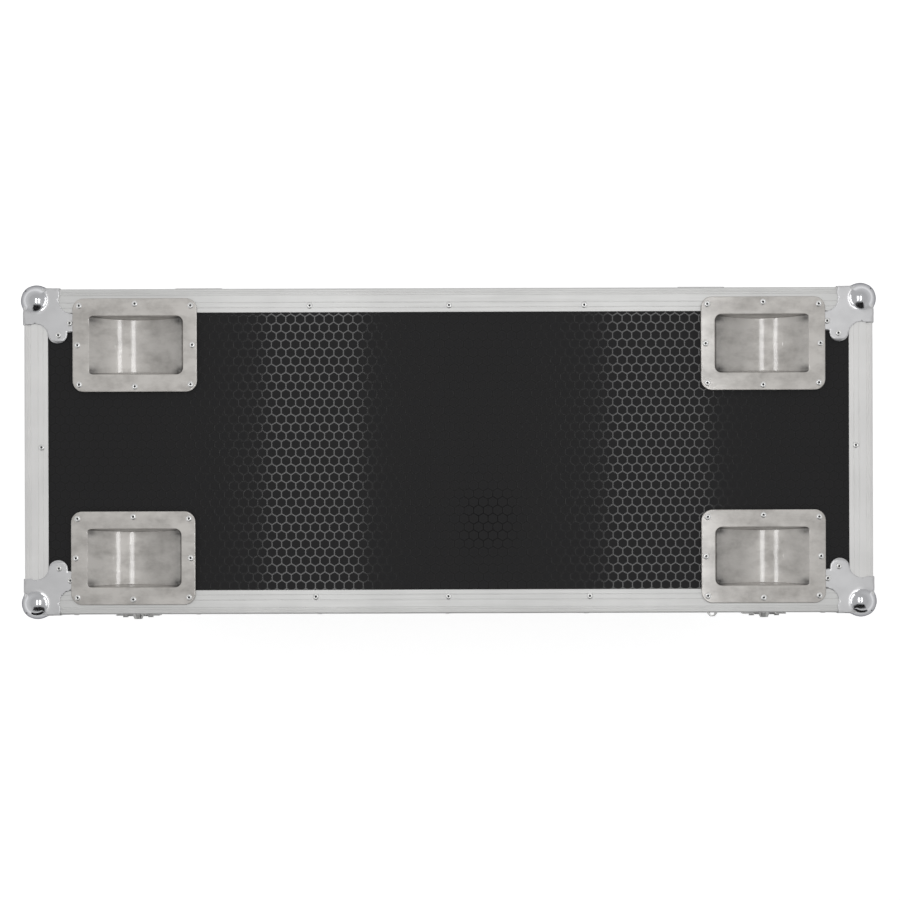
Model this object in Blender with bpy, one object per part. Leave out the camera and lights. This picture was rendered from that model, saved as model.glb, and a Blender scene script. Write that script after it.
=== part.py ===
"""Long hard equipment case on four swivel castors, as separate sub-parts.

Frame: +X along the case, -Y the front with the latches, +Z up, lengths in metres.
The origin is on the ground under the middle of the case.  A depth is measured
inwards from the outer plane of the edge angles, so a negative depth stands proud.
"""

import math

import bmesh
import bpy
from mathutils import Matrix, Vector

# Driving dimensions of the case body, over its edge angles
LENGTH = 1.236
DEPTH = 0.474
BODY_HEIGHT = 0.400
LID_HEIGHT = 0.128
CASTOR_HEIGHT = 0.128

# Stock sizes and clearances
PLY = 0.0095            # laminated plywood
SHEET = 0.0015          # aluminium edge angle
PRESSED = 0.0012        # pressed steel fittings
EDGE = 0.035            # leg of the edge angle
FOAM = 0.015
GAP = 0.0003            # between pieces that touch
REACH = 0.002           # how far a cutter passes the face that it opens

HALF_L = LENGTH / 2
HALF_D = DEPTH / 2
SKIN = SHEET + GAP                      # depth of the outer face of the boards
INNER = SKIN + PLY + GAP                # depth where the lining starts
BASE_BOTTOM = CASTOR_HEIGHT - SHEET
LID_TOP = BASE_BOTTOM + BODY_HEIGHT
PARTING = LID_TOP - LID_HEIGHT

# Rims that close on each other, tongue in groove
RIM_SKIRT = 0.025
RIM_INNER = 0.014
RIM_FACE = 0.00015                      # half of the slit between the two rims
GROOVE_DEPTH = 0.0045
TONGUE = (0.005, 0.009, 0.0035)         # depths of its two sides, and its drop

# Ball corners
BALL_RADIUS = 0.0202
BALL_INSET = 0.013
PLATE_OUT = GAP + PRESSED
TAB_END = 0.0538
SCALLOP = (0.0685, 0.0146, 0.0207)      # centre along, centre across, radius
LOBE = (0.0651, 0.0492, 0.0140)

# Castors, and the dishes in the lid that take them when cases are stacked
CASTOR_X = 0.4583
CASTOR_Y = 0.155
TRAIL = 0.036
WHEEL_RADIUS = 0.050
WHEEL_STEPS = 24
PLATE_BASE = CASTOR_HEIGHT - 0.003
RACE_BASE = 0.117
FORK_TOP = RACE_BASE - GAP
FORK_SHEET = 0.003
FORK_INNER = 0.0205
DISH_FLANGE = (0.0905, 0.068, 0.016)    # half length, half width, corner radius
DISH_PAN = (0.0695, 0.042)              # half length and half width inside
DISH_DEPTH = 0.026
DISH_FACE = PLATE_OUT + GAP             # the dish flange lies over the corner plates
DISH_CLEAR = 0.0035                     # round each dish in the board and the lid's pad
CASTOR_PLATE = (0.042, 0.046, 0.008)    # half length, half width, corner radius
RACE = (0.026, 0.028)                   # radii of the swivel race, below and above
CROWN_RADIUS = 0.030
LEG_RADIUS = 0.0135                     # of the fork's leg round the axle
AXLE_RADIUS = 0.006

# Butterfly latches
LATCH_X = 0.479
LATCH_Z = PARTING - 0.038
LATCH_HALF = 0.056                      # half width of the flange
LATCH_PAN = 0.046                       # half width inside the pan
LATCH_BACK = 0.010                      # depth of the pan
LATCH_LOW, LATCH_PAN_LOW = -0.076, -0.068       # from the parting, as the next four
KEEPER_TOP, KEEPER_PAN_TOP = 0.030, 0.022
SHELF_LOW, SHELF_TOP = 0.0055, 0.0075
CLAW_LOW, CLAW_LIP, CLAW_TOP = -0.018, 0.012, 0.014
SHELF_HALF, SHELF_DEPTH = 0.014, 0.007
CLAW_HALF = 0.012
CLAW_DEPTHS = (0.001, 0.003, 0.006)     # face, back and the end of the lip
HUB_BASE, HUB_RIM = 0.0094, 0.002       # depths of the hub's disc
HUB_RADII = (0.015, 0.013, 0.006)       # disc, foot of the cone, tip
HUB_TIP = -0.014
WING_DEPTH = -0.0079                    # depth of the wing's fold axis
WING_SHEET = 0.0018
WING_HALF = 0.033
WING_TOP, WING_BOTTOM = 0.006, -0.030   # from the hub's axis
WING_CLEAR = 0.0155                     # radius of its opening round the hub
WING_CORNER = 0.008
WING_PIN, WING_BORE, WING_KNUCKLE = 0.0020, 0.0023, 0.0036
PIN_END, KNUCKLE_END = 0.021, 0.023     # from the hub's axis

# Padlock staple, hinges and handles
STAPLE_X = 0.396
STAPLE_LOW, STAPLE_TOP = 0.0005, 0.023  # from the parting
STAPLE_HALF = 0.013
EAR_HALF, EAR_TIP, EAR_OUT = 0.012, 0.0035, -0.011
EAR_SHEET = 0.002
SHACKLE_RADIUS, SHACKLE_OUT = 0.0034, -0.0064
HINGE_X = 0.380
HINGE_LOW, HINGE_TOP = 0.003, 0.060     # from the parting
HINGE_OUT = 0.009
HINGE_RADIUS = 0.005
HINGE_SHEET = 0.0018
HINGE_HALF = 0.035
HINGE_PIN, HINGE_BORE = 0.0024, 0.0028
KNUCKLE_HALF = 0.0127
HANDLE_Z = BASE_BOTTOM + 0.150
HANDLE_PAN = (0.070, 0.042)             # half length and half height inside
HANDLE_FLANGE = (0.084, 0.054, 0.010)   # half length, half height, corner radius
HANDLE_BACK = 0.017
BAIL_DEPTH = 0.0085
BAIL_RADIUS = 0.004
BAIL_PIVOT_Z = HANDLE_Z + 0.028
BAIL_LEG = 0.057                        # half of the bail's width
BAIL_PLAY = 0.0004                      # round its ends, in the ears
BAIL_BEND = 0.005
EAR_BLOCK = 0.0065                      # half height of the ears that carry it
GRIP_Z = HANDLE_Z - 0.018
GRIP_HALF = 0.047
GRIP_RADIUS = 0.0075

HINGE_AXIS = Vector((0.0, HALF_D + HINGE_OUT, PARTING))
X, Y, Z = 0, 1, 2
SIDES = (("left", -1), ("right", 1))
CORNERS = (
    ("front_left", -1, -1), ("front_right", 1, -1),
    ("rear_left", -1, 1), ("rear_right", 1, 1),
)


# ---------------------------------------------------------------- small helpers

def front(depth):
    return depth - HALF_D


def rear(depth):
    return HALF_D - depth


def right(depth):
    return HALF_L - depth


def make_look(name, colour, roughness, metallic):
    look = bpy.data.materials.new(name)
    look.use_nodes = True
    shader = look.node_tree.nodes["Principled BSDF"]
    shader.inputs["Base Color"].default_value = (*colour, 1.0)
    shader.inputs["Roughness"].default_value = roughness
    shader.inputs["Metallic"].default_value = metallic
    look.diffuse_color = (*colour, 1.0)
    return look


def finished_mesh(bm):
    bmesh.ops.recalc_face_normals(bm, faces=bm.faces)
    mesh = bpy.data.meshes.new("shape")
    bm.to_mesh(mesh)
    bm.free()
    return mesh


def box(corner, opposite):
    """A closed box between two opposite corners."""
    bm = bmesh.new()
    bmesh.ops.create_cube(bm, size=1.0)
    middle = (Vector(corner) + Vector(opposite)) / 2
    size = [abs(a - b) for a, b in zip(corner, opposite)]
    bmesh.ops.scale(bm, vec=size, verts=bm.verts)
    bmesh.ops.translate(bm, vec=middle, verts=bm.verts)
    return finished_mesh(bm)


def prism(outline, axis, start, end):
    """A closed prism.  The outline is drawn in the two other axes, in their order."""
    first, second = [i for i in (X, Y, Z) if i != axis]
    bm = bmesh.new()
    verts = []
    for point in outline:
        place = [0.0, 0.0, 0.0]
        place[first], place[second], place[axis] = point[0], point[1], start
        verts.append(bm.verts.new(place))
    face = bm.faces.new(verts)
    new = bmesh.ops.extrude_face_region(bm, geom=[face])["geom"]
    shift = Vector((0.0, 0.0, 0.0))
    shift[axis] = end - start
    bmesh.ops.translate(bm, vec=shift, verts=[v for v in new if isinstance(v, bmesh.types.BMVert)])
    return finished_mesh(bm)


def turned(profile, axis, centre, steps=24):
    """A closed body of revolution, from a closed profile of (radius, position on the axis).

    The two values of centre are in the two other axes, in their order.
    """
    first, second = [i for i in (X, Y, Z) if i != axis]
    bm = bmesh.new()
    rows = []
    for radius, along in profile:
        row = []
        for step in range(steps if radius > 0 else 1):
            angle = 2 * math.pi * (step + 0.5) / steps
            place = [0.0, 0.0, 0.0]
            place[first] = centre[0] + radius * math.cos(angle)
            place[second] = centre[1] + radius * math.sin(angle)
            place[axis] = along
            row.append(bm.verts.new(place))
        rows.append(row)
    for here, after in zip(rows, rows[1:] + rows[:1]):
        for step in range(steps):
            ends = (step, step + 1)
            corners = [here[i % len(here)] for i in ends] + [after[i % len(after)] for i in reversed(ends)]
            distinct = list(dict.fromkeys(corners))
            if len(distinct) > 2:
                bm.faces.new(distinct)
    return finished_mesh(bm)


def rod(radius, axis, centre, start, end, steps=16):
    return turned(((0.0, start), (radius, start), (radius, end), (0.0, end)), axis, centre, steps)


def ball(centre, radius, steps=18):
    bm = bmesh.new()
    bmesh.ops.create_uvsphere(bm, u_segments=steps, v_segments=steps // 2, radius=radius)
    bmesh.ops.translate(bm, vec=centre, verts=bm.verts)
    return finished_mesh(bm)


def mitred_ring(outline):
    """A section of (depth, height above the parting plane), mitred round the case."""
    bm = bmesh.new()
    loops = []
    for depth, height in outline:
        half_x, half_y = HALF_L - depth, HALF_D - depth
        signs = ((-1, -1), (1, -1), (1, 1), (-1, 1))
        loops.append([bm.verts.new((sx * half_x, sy * half_y, PARTING + height)) for sx, sy in signs])
    for here, after in zip(loops, loops[1:] + loops[:1]):
        for i in range(4):
            j = (i + 1) % 4
            bm.faces.new((here[i], here[j], after[j], after[i]))
    return finished_mesh(bm)


def arc(centre, radius, start, end, steps):
    """Points on an arc in the drawing plane, angles in degrees."""
    angles = [math.radians(start + (end - start) * i / steps) for i in range(steps + 1)]
    return [Vector((centre[0] + radius * math.cos(a), centre[1] + radius * math.sin(a))) for a in angles]


def rounded(points, radius, closed=True, steps=3):
    """The points with each right-angled corner turned into an arc."""
    points = [Vector(point) for point in points]
    result = []
    for i, corner in enumerate(points):
        if not closed and i in (0, len(points) - 1):
            result.append(corner)
            continue
        before = (points[i - 1] - corner).normalized()
        after = (points[(i + 1) % len(points)] - corner).normalized()
        middle = corner + (before + after) * radius
        for step in range(steps + 1):
            turn = math.pi / 2 * step / steps
            result.append(middle - after * radius * math.cos(turn) - before * radius * math.sin(turn))
    return result


def rounded_rectangle(centre, half, radius):
    (cx, cy), (hx, hy) = centre, half
    square = [(cx - hx, cy - hy), (cx + hx, cy - hy), (cx + hx, cy + hy), (cx - hx, cy + hy)]
    return rounded(square, radius)


def combined(shapes, cuts=()):
    """One mesh: the union of the shapes, with the cuts taken away."""
    link = bpy.context.scene.collection.objects.link
    body = bpy.data.objects.new("body", shapes[0])
    link(body)
    tools = []
    steps = [("UNION", mesh) for mesh in shapes[1:]] + [("DIFFERENCE", mesh) for mesh in cuts]
    for operation, mesh in steps:
        tool = bpy.data.objects.new("tool", mesh)
        link(tool)
        tools.append(tool)
        modifier = body.modifiers.new("combine", "BOOLEAN")
        modifier.operation = operation
        modifier.solver = "EXACT"
        modifier.object = tool
    graph = bpy.context.evaluated_depsgraph_get()
    result = bpy.data.meshes.new_from_object(body.evaluated_get(graph))
    for helper in (body, *tools):
        bpy.data.objects.remove(helper)
    return result


def mirrored(mesh, signs, offset=(0.0, 0.0, 0.0)):
    """A copy of the mesh, mirrored where a sign is -1 and then moved."""
    copy = mesh.copy()
    copy.transform(Matrix.Translation(offset) @ Matrix.Diagonal((*signs, 1.0)))
    if signs[X] * signs[Y] * signs[Z] < 0:
        copy.flip_normals()
    return copy


def add_axis(name, place, parent=None):
    """An empty on a joint's axis, for the pieces that move about it."""
    empty = bpy.data.objects.new(name, None)
    bpy.context.scene.collection.objects.link(empty)
    empty.parent = parent
    empty.location = Vector(place) - (Vector(parent["place"]) if parent else Vector())
    empty["place"] = list(place)
    return empty


def add_part(name, mesh, look, parent=None):
    """A named sub-part.  Its mesh is in world coordinates and its origin is its parent's."""
    mesh = mesh.copy()
    mesh.name = name
    place = Vector(parent["place"]) if parent else Vector()
    mesh.transform(Matrix.Translation(-place))
    mesh.shade_smooth()
    mesh.set_sharp_from_angle(angle=math.radians(32))
    mesh.materials.clear()
    mesh.materials.append(look)
    part = bpy.data.objects.new(name, mesh)
    part.parent = parent
    bpy.context.scene.collection.objects.link(part)
    return part


# ---------------------------------------------------------------- boards

def latch_notches(depth_in, bottom, top):
    """Cutters that open the front for the two latch pans."""
    half = LATCH_PAN + PRESSED + 2 * GAP
    return [
        box((sign * LATCH_X - half, front(-REACH), bottom), (sign * LATCH_X + half, front(depth_in), top))
        for _, sign in SIDES
    ]


def handle_cutter():
    """A cutter through both ends of the case, round the handle pans."""
    half_y, half_z = [half + PRESSED + 2 * GAP for half in HANDLE_PAN]
    return box((-LENGTH, -half_y, HANDLE_Z - half_z), (LENGTH, half_y, HANDLE_Z + half_z))


def dish_cutters(low, high):
    """Cutters for the rectangular openings round the castor dishes."""
    half_x, half_y = DISH_PAN[0] + DISH_CLEAR, DISH_PAN[1] + DISH_CLEAR
    return [
        box((sx * CASTOR_X - half_x, sy * CASTOR_Y - half_y, low),
            (sx * CASTOR_X + half_x, sy * CASTOR_Y + half_y, high))
        for _, sx, sy in CORNERS
    ]


def wall_boards(part, bottom, top, look, parent, notches=(), end_cut=None):
    """Front, rear and two end boards between two heights."""
    long_half = HALF_L - SKIN
    end_half = HALF_D - INNER
    for name, sign in (("front", -1), ("rear", 1)):
        board = box((-long_half, sign * rear(SKIN), bottom), (long_half, sign * rear(SKIN + PLY), top))
        if name == "front":
            board = combined([board], notches)
        add_part(f"{part}_{name}_panel", board, look, parent)
    for name, sign in SIDES:
        board = box((sign * right(SKIN), -end_half, bottom), (sign * right(SKIN + PLY), end_half, top))
        if end_cut:
            board = combined([board], [end_cut])
        add_part(f"{part}_{name}_panel", board, look, parent)


def add_base_boards(look):
    half = (HALF_L - SKIN, HALF_D - SKIN)
    bottom = BASE_BOTTOM + SKIN
    floor = box((-half[0], -half[1], bottom), (half[0], half[1], bottom + PLY))
    add_part("base_floor_panel", floor, look)
    notch_bottom = PARTING + LATCH_PAN_LOW - REACH
    top = PARTING - GROOVE_DEPTH - SKIN
    notches = latch_notches(INNER + REACH, notch_bottom, PARTING)
    wall_boards("base", bottom + PLY + GAP, top, look, None, notches, handle_cutter())


def add_lid_boards(look, lid):
    half = (HALF_L - SKIN, HALF_D - SKIN)
    top = LID_TOP - SKIN
    holes = dish_cutters(top - PLY - REACH, LID_TOP)
    panel = box((-half[0], -half[1], top - PLY), (half[0], half[1], top))
    add_part("lid_top_panel", combined([panel], holes), look, lid)
    bottom = PARTING + RIM_FACE + SKIN
    notches = latch_notches(INNER + REACH, PARTING, PARTING + KEEPER_PAN_TOP + DISH_FACE - GAP)
    wall_boards("lid", bottom, top - PLY - GAP, look, lid, notches)


# ---------------------------------------------------------------- aluminium edges

def edge_frame(low, high, closed_end):
    """Angle edges: a sheet box open towards the rim, with a window in each face."""
    outer = box((-HALF_L, -HALF_D, low), (HALF_L, HALF_D, high))
    up = closed_end == high
    inside = (low - REACH, high - SHEET) if up else (low + SHEET, high + REACH)
    window = (low - REACH, high - EDGE) if up else (low + EDGE, high + REACH)
    inner_x, inner_y = HALF_L - SHEET, HALF_D - SHEET
    open_x, open_y = HALF_L - EDGE, HALF_D - EDGE
    cuts = [
        box((-inner_x, -inner_y, inside[0]), (inner_x, inner_y, inside[1])),
        box((-open_x, -open_y, low - REACH), (open_x, open_y, high + REACH)),
        box((-open_x, -DEPTH, window[0]), (open_x, DEPTH, window[1])),
        box((-LENGTH, -open_y, window[0]), (LENGTH, open_y, window[1])),
    ]
    return combined([outer], cuts)


def base_rim():
    """The groove profile on top of the base walls."""
    wall_in = INNER + SHEET
    web_top, web_base = -GROOVE_DEPTH, -GROOVE_DEPTH - SHEET
    outline = (
        (0, -RIM_SKIRT), (SHEET, -RIM_SKIRT), (SHEET, web_base), (INNER, web_base),
        (INNER, -RIM_INNER), (wall_in, -RIM_INNER), (wall_in, -RIM_FACE), (INNER, -RIM_FACE),
        (INNER, web_top), (SHEET, web_top), (SHEET, -RIM_FACE), (0, -RIM_FACE),
    )
    notches = latch_notches(INNER - GAP / 3, PARTING - RIM_SKIRT - REACH, PARTING + REACH)
    return combined([mitred_ring(outline)], notches)


def lid_rim():
    """The tongue profile under the lid walls."""
    wall_in = INNER + SHEET
    web_top = RIM_FACE + SHEET
    near, far, drop = TONGUE
    outline = (
        (0, RIM_FACE), (near, RIM_FACE), (near, -drop), (far, -drop), (far, RIM_FACE),
        (wall_in, RIM_FACE), (wall_in, RIM_INNER), (INNER, RIM_INNER),
        (INNER, web_top), (SHEET, web_top), (SHEET, RIM_SKIRT), (0, RIM_SKIRT),
    )
    notches = latch_notches(INNER - GAP / 3, PARTING - GROOVE_DEPTH, PARTING + RIM_SKIRT + REACH)
    return combined([mitred_ring(outline)], notches)


# ---------------------------------------------------------------- ball corners

def corner_outline():
    """One leg of a ball corner: edge tabs, scallops and two round lobes."""
    scallop_start = 360 + math.degrees(math.atan2(-SCALLOP[1], TAB_END - SCALLOP[0]))
    blend = (Vector(LOBE[:2]) - Vector(SCALLOP[:2])).normalized()
    blend_angle = math.degrees(math.atan2(blend.y, blend.x))
    meet = math.sqrt(LOBE[2] ** 2 - (LOBE[0] - LOBE[1]) ** 2 / 2)
    meet_point = Vector((1, 1)) * ((LOBE[0] + LOBE[1]) / 2 + meet / math.sqrt(2))
    lobe_end = math.degrees(math.atan2(meet_point.y - LOBE[1], meet_point.x - LOBE[0]))
    half = arc(SCALLOP[:2], SCALLOP[2], scallop_start, blend_angle, 4)
    half += arc(LOBE[:2], LOBE[2], blend_angle - 180, lobe_end, 5)[1:]
    other = [Vector((point.y, point.x)) for point in reversed(half[:-1])]
    return [(-PLATE_OUT, -PLATE_OUT), (TAB_END, -PLATE_OUT)] + half + other + [(-PLATE_OUT, TAB_END)]


def ball_corner():
    """Drawn with each axis measured inwards from the corner of the case."""
    outline = corner_outline()
    plates = [prism(outline, axis, -PLATE_OUT, -GAP) for axis in (Z, Y, X)]
    bulge = ball(Vector((BALL_INSET,) * 3), BALL_RADIUS)
    case = box((-GAP,) * 3, (4 * TAB_END,) * 3)
    return combined(plates + [bulge], [case])


def add_ball_corners(look, lid):
    corner = ball_corner()
    for name, sx, sy in CORNERS:
        base_mesh = mirrored(corner, (-sx, -sy, 1), (sx * HALF_L, sy * HALF_D, BASE_BOTTOM))
        lid_mesh = mirrored(corner, (-sx, -sy, -1), (sx * HALF_L, sy * HALF_D, LID_TOP))
        add_part(f"base_ball_corner_{name}", base_mesh, look)
        add_part(f"lid_ball_corner_{name}", lid_mesh, look, lid)


# ---------------------------------------------------------------- castor dishes and castors

def castor_dish():
    """A pressed dish with a round trough, about its own centre."""
    under, face = LID_TOP + DISH_FACE, LID_TOP + DISH_FACE + PRESSED
    half_x, half_y = DISH_PAN
    radius = (half_x ** 2 + DISH_DEPTH ** 2) / (2 * DISH_DEPTH)
    centre = (0.0, face - DISH_DEPTH + radius)
    spread = math.degrees(math.asin(half_x / radius))
    trough = arc(centre, radius, 270 - spread, 270 + spread, 12)
    outer = arc(centre, radius + PRESSED, 270 - spread, 270 + spread, 12)
    lip = [(half_x, face + REACH), (-half_x, face + REACH)]
    shell = [(half_x + PRESSED, under + PRESSED / 2), (-half_x - PRESSED, under + PRESSED / 2)]
    flange = prism(rounded_rectangle((0, 0), DISH_FLANGE[:2], DISH_FLANGE[2]), Z, under, face)
    pan = prism(outer + shell, Y, -half_y - PRESSED, half_y + PRESSED)
    hollow = prism(trough + lip, Y, -half_y, half_y)
    return combined([flange, pan], [hollow])


def add_castor_dishes(look, lid):
    dish = castor_dish()
    for name, sx, sy in CORNERS:
        placed = mirrored(dish, (1, 1, 1), (sx * CASTOR_X, sy * CASTOR_Y, 0))
        add_part(f"castor_dish_{name}", placed, look, lid)


def castor_plate():
    outline = rounded_rectangle((0, 0), CASTOR_PLATE[:2], CASTOR_PLATE[2])
    plate = prism(outline, Z, PLATE_BASE, CASTOR_HEIGHT)
    low, high = RACE
    shoulder, race_top = RACE_BASE + high - low, PLATE_BASE + FORK_SHEET / 2
    race = ((0, RACE_BASE), (low, RACE_BASE), (high, shoulder), (high, race_top), (0, race_top))
    return combined([plate, turned(race, Z, (0, 0))])


def castor_fork():
    """A pressed fork about the swivel axis, with the axle at its tail."""
    top, under = FORK_TOP, FORK_TOP - FORK_SHEET
    outer = FORK_INNER + FORK_SHEET
    crown_half, tail = outer + GAP, -TRAIL - FORK_SHEET * 3
    turn = 180 - math.degrees(math.asin(crown_half / CROWN_RADIUS))
    crown_outline = [(tail, -crown_half)] + arc((0, 0), CROWN_RADIUS, -turn, turn, 14) + [(tail, crown_half)]
    hub, leg_top, nose = (-TRAIL, WHEEL_RADIUS), top - FORK_SHEET / 2, TRAIL / 2
    leg = arc(hub, LEG_RADIUS, 200, 345, 6) + [(nose, leg_top), (tail + GAP, leg_top)]
    shapes = [prism(crown_outline, Z, under, top)]
    shapes += [prism(leg, Y, side * FORK_INNER, side * outer) for side in (-1, 1)]
    shapes.append(rod(AXLE_RADIUS, Y, hub, -outer - FORK_SHEET, outer + FORK_SHEET))
    return combined(shapes)


def castor_wheel():
    """Hub, web and tyre in one profile of (radius, half width).

    The tread's flats, one of them at the bottom, are at the wheel's true radius.
    """
    tread = WHEEL_RADIUS / math.cos(math.pi / WHEEL_STEPS)
    half = (
        (AXLE_RADIUS + GAP, 0.0195), (0.015, 0.0195), (0.017, 0.012), (0.036, 0.012), (0.038, 0.018),
        (0.0465, 0.018), (tread, 0.0145),
    )
    profile = list(half) + [(radius, -along) for radius, along in reversed(half)]
    return turned(profile, Y, (0, 0), WHEEL_STEPS)


def add_castors(steel, rubber):
    plate, fork, wheel = castor_plate(), castor_fork(), castor_wheel()
    for name, sx, sy in CORNERS:
        swivel_place = (sx * (CASTOR_X + TRAIL), sy * CASTOR_Y, 0.0)
        wheel_place = (sx * CASTOR_X, sy * CASTOR_Y, WHEEL_RADIUS)
        swivel = add_axis(f"swivel_axis_{name}", swivel_place)
        axle = add_axis(f"wheel_axis_{name}", wheel_place, swivel)
        add_part(f"castor_plate_{name}", mirrored(plate, (sx, 1, 1), swivel_place), steel)
        add_part(f"castor_fork_{name}", mirrored(fork, (sx, 1, 1), swivel_place), steel, swivel)
        add_part(f"castor_wheel_{name}", mirrored(wheel, (1, 1, 1), wheel_place), rubber, axle)


# ---------------------------------------------------------------- latches and padlock staple

def latch_shell(low, high, pan_low, pan_high, hollow_low, hollow_high):
    """A flange with a pan behind it, about x = 0; heights are above the parting plane."""
    def slab(half, outer, inner, bottom, top):
        return box((-half, front(outer), PARTING + bottom), (half, front(inner), PARTING + top))
    flange = slab(LATCH_HALF, -PLATE_OUT, -GAP, low, high)
    pan = slab(LATCH_PAN + PRESSED, -PLATE_OUT + PRESSED / 2, LATCH_BACK + PRESSED, pan_low, pan_high)
    hollow = slab(LATCH_PAN, -PLATE_OUT - REACH, LATCH_BACK, hollow_low, hollow_high)
    return combined([flange, pan], [hollow])


def latch_dish():
    return latch_shell(LATCH_LOW, -GAP, LATCH_PAN_LOW - PRESSED, -GAP, LATCH_PAN_LOW, REACH)


def latch_keeper():
    """The lid's half of the latch, with the shelf that the claw pulls down on."""
    shell = latch_shell(GAP, KEEPER_TOP, GAP, KEEPER_PAN_TOP + PRESSED, -REACH, KEEPER_PAN_TOP)
    back = front(LATCH_BACK + PRESSED / 2)
    shelf = box((-SHELF_HALF, front(SHELF_DEPTH), PARTING + SHELF_LOW), (SHELF_HALF, back, PARTING + SHELF_TOP))
    return combined([shell, shelf])


def latch_drive():
    """The turning hub, with the two pins that the wing folds on."""
    disc, foot, tip = HUB_RADII
    profile = (
        (0, front(HUB_BASE)), (disc, front(HUB_BASE)), (disc, front(HUB_RIM)), (foot, front(HUB_RIM)),
        (tip, front(HUB_TIP)), (0, front(HUB_TIP)),
    )
    hub = turned(profile, Y, (0, LATCH_Z))
    pins = rod(WING_PIN, X, (front(WING_DEPTH), LATCH_Z), -PIN_END, PIN_END, 12)
    return combined([hub, pins])


def latch_wing():
    """The folding butterfly, a U-shaped plate that clears the hub."""
    clear, top = WING_CLEAR, LATCH_Z + WING_TOP
    outline = [(-WING_HALF, top), (-clear, top)] + arc((0, LATCH_Z), clear, 180, 360, 9)
    outline += [(clear, top), (WING_HALF, top)]
    middle_x, middle_z = WING_HALF - WING_CORNER, LATCH_Z + WING_BOTTOM + WING_CORNER
    outline += arc((middle_x, middle_z), WING_CORNER, 0, -90, 4)
    outline += arc((-middle_x, middle_z), WING_CORNER, -90, -180, 4)
    axis = front(WING_DEPTH)
    plate = prism(outline, Y, axis - WING_SHEET / 2, axis + WING_SHEET / 2)
    pivot, bore_end = (axis, LATCH_Z), PIN_END + GAP
    knuckles = [rod(WING_KNUCKLE, X, pivot, side * clear, side * KNUCKLE_END, 12) for side in (-1, 1)]
    bores = [rod(WING_BORE, X, pivot, side * (clear - REACH), side * bore_end, 12) for side in (-1, 1)]
    return combined([plate] + knuckles, bores)


def latch_claw():
    face, back, lip_end = [front(depth) for depth in CLAW_DEPTHS]
    plate = box((-CLAW_HALF, face, PARTING + CLAW_LOW), (CLAW_HALF, back, PARTING + CLAW_TOP))
    lip = box((-CLAW_HALF, face, PARTING + CLAW_LIP), (CLAW_HALF, lip_end, PARTING + CLAW_TOP))
    return combined([plate, lip])


def add_latches(steel, lid):
    shapes = latch_dish(), latch_drive(), latch_wing(), latch_claw(), latch_keeper()
    for name, sign in SIDES:
        place = (sign * LATCH_X, 0, 0)
        dish, drive, wing, claw, keeper = [mirrored(shape, (1, 1, 1), place) for shape in shapes]
        turn = add_axis(f"latch_turn_axis_{name}", (sign * LATCH_X, front(0), LATCH_Z))
        fold = add_axis(f"latch_fold_axis_{name}", (sign * LATCH_X, front(WING_DEPTH), LATCH_Z), turn)
        add_part(f"latch_dish_{name}", dish, steel)
        add_part(f"latch_drive_{name}", drive, steel, turn)
        add_part(f"latch_wing_{name}", wing, steel, fold)
        add_part(f"latch_claw_{name}", claw, steel)
        add_part(f"latch_keeper_{name}", keeper, steel, lid)


def staple():
    """The lid's half: a plate with a pierced triangular tab."""
    near, low = front(-GAP), PARTING + STAPLE_LOW
    plate = box((-STAPLE_HALF, near, low), (STAPLE_HALF, near - SHEET, PARTING + STAPLE_TOP))
    tab = ((-EAR_HALF, near), (EAR_HALF, near), (EAR_TIP, front(EAR_OUT)), (-EAR_TIP, front(EAR_OUT)))
    ear = prism(tab, Z, low, low + EAR_SHEET)
    hole = rod(SHACKLE_RADIUS, Z, (0, front(SHACKLE_OUT)), PARTING - REACH, low + EAR_SHEET + REACH)
    return combined([plate, ear], [hole])


def add_staples(steel, lid):
    upper = mirrored(staple(), (1, 1, 1), (STAPLE_X, 0, 0))
    lower = mirrored(upper, (1, 1, -1), (0, 0, 2 * PARTING))
    add_part("padlock_staple_lid", upper, steel, lid)
    add_part("padlock_staple_base", lower, steel)


# ---------------------------------------------------------------- hinges and handles

def hinge_leaf(up, knuckle_sides):
    """A leaf and the shelves out to its knuckles, up for the lid and -up for the base."""
    def slab(x_low, x_high, y_high, z_low, z_high):
        near, far = PARTING + up * z_low, PARTING + up * z_high
        return box((x_low, rear(-GAP), near), (x_high, y_high, far))
    shapes = [slab(-HINGE_HALF, HINGE_HALF, rear(-GAP - HINGE_SHEET), HINGE_LOW, HINGE_TOP)]
    for x_low, x_high in knuckle_sides:
        shapes.append(slab(x_low, x_high, HINGE_AXIS.y, HINGE_LOW, HINGE_RADIUS))
        shapes.append(rod(HINGE_RADIUS, X, (HINGE_AXIS.y, PARTING), x_low, x_high))
    return shapes


def hinge_base_leaf():
    inner = KNUCKLE_HALF + GAP
    shapes = hinge_leaf(-1, ((-HINGE_HALF, -inner), (inner, HINGE_HALF)))
    pin = rod(HINGE_PIN, X, (HINGE_AXIS.y, PARTING), -inner - REACH, inner + REACH, 12)
    return combined(shapes + [pin])


def hinge_lid_leaf():
    end = KNUCKLE_HALF + REACH
    bore = rod(HINGE_BORE, X, (HINGE_AXIS.y, PARTING), -end, end, 12)
    return combined(hinge_leaf(1, ((-KNUCKLE_HALF, KNUCKLE_HALF),)), [bore])


def add_hinges(steel, lid):
    base_leaf, lid_leaf = hinge_base_leaf(), hinge_lid_leaf()
    for name, sign in SIDES:
        place = (sign * HINGE_X, 0, 0)
        add_part(f"hinge_base_leaf_{name}", mirrored(base_leaf, (1, 1, 1), place), steel)
        add_part(f"hinge_lid_leaf_{name}", mirrored(lid_leaf, (1, 1, 1), place), steel, lid)


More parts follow.
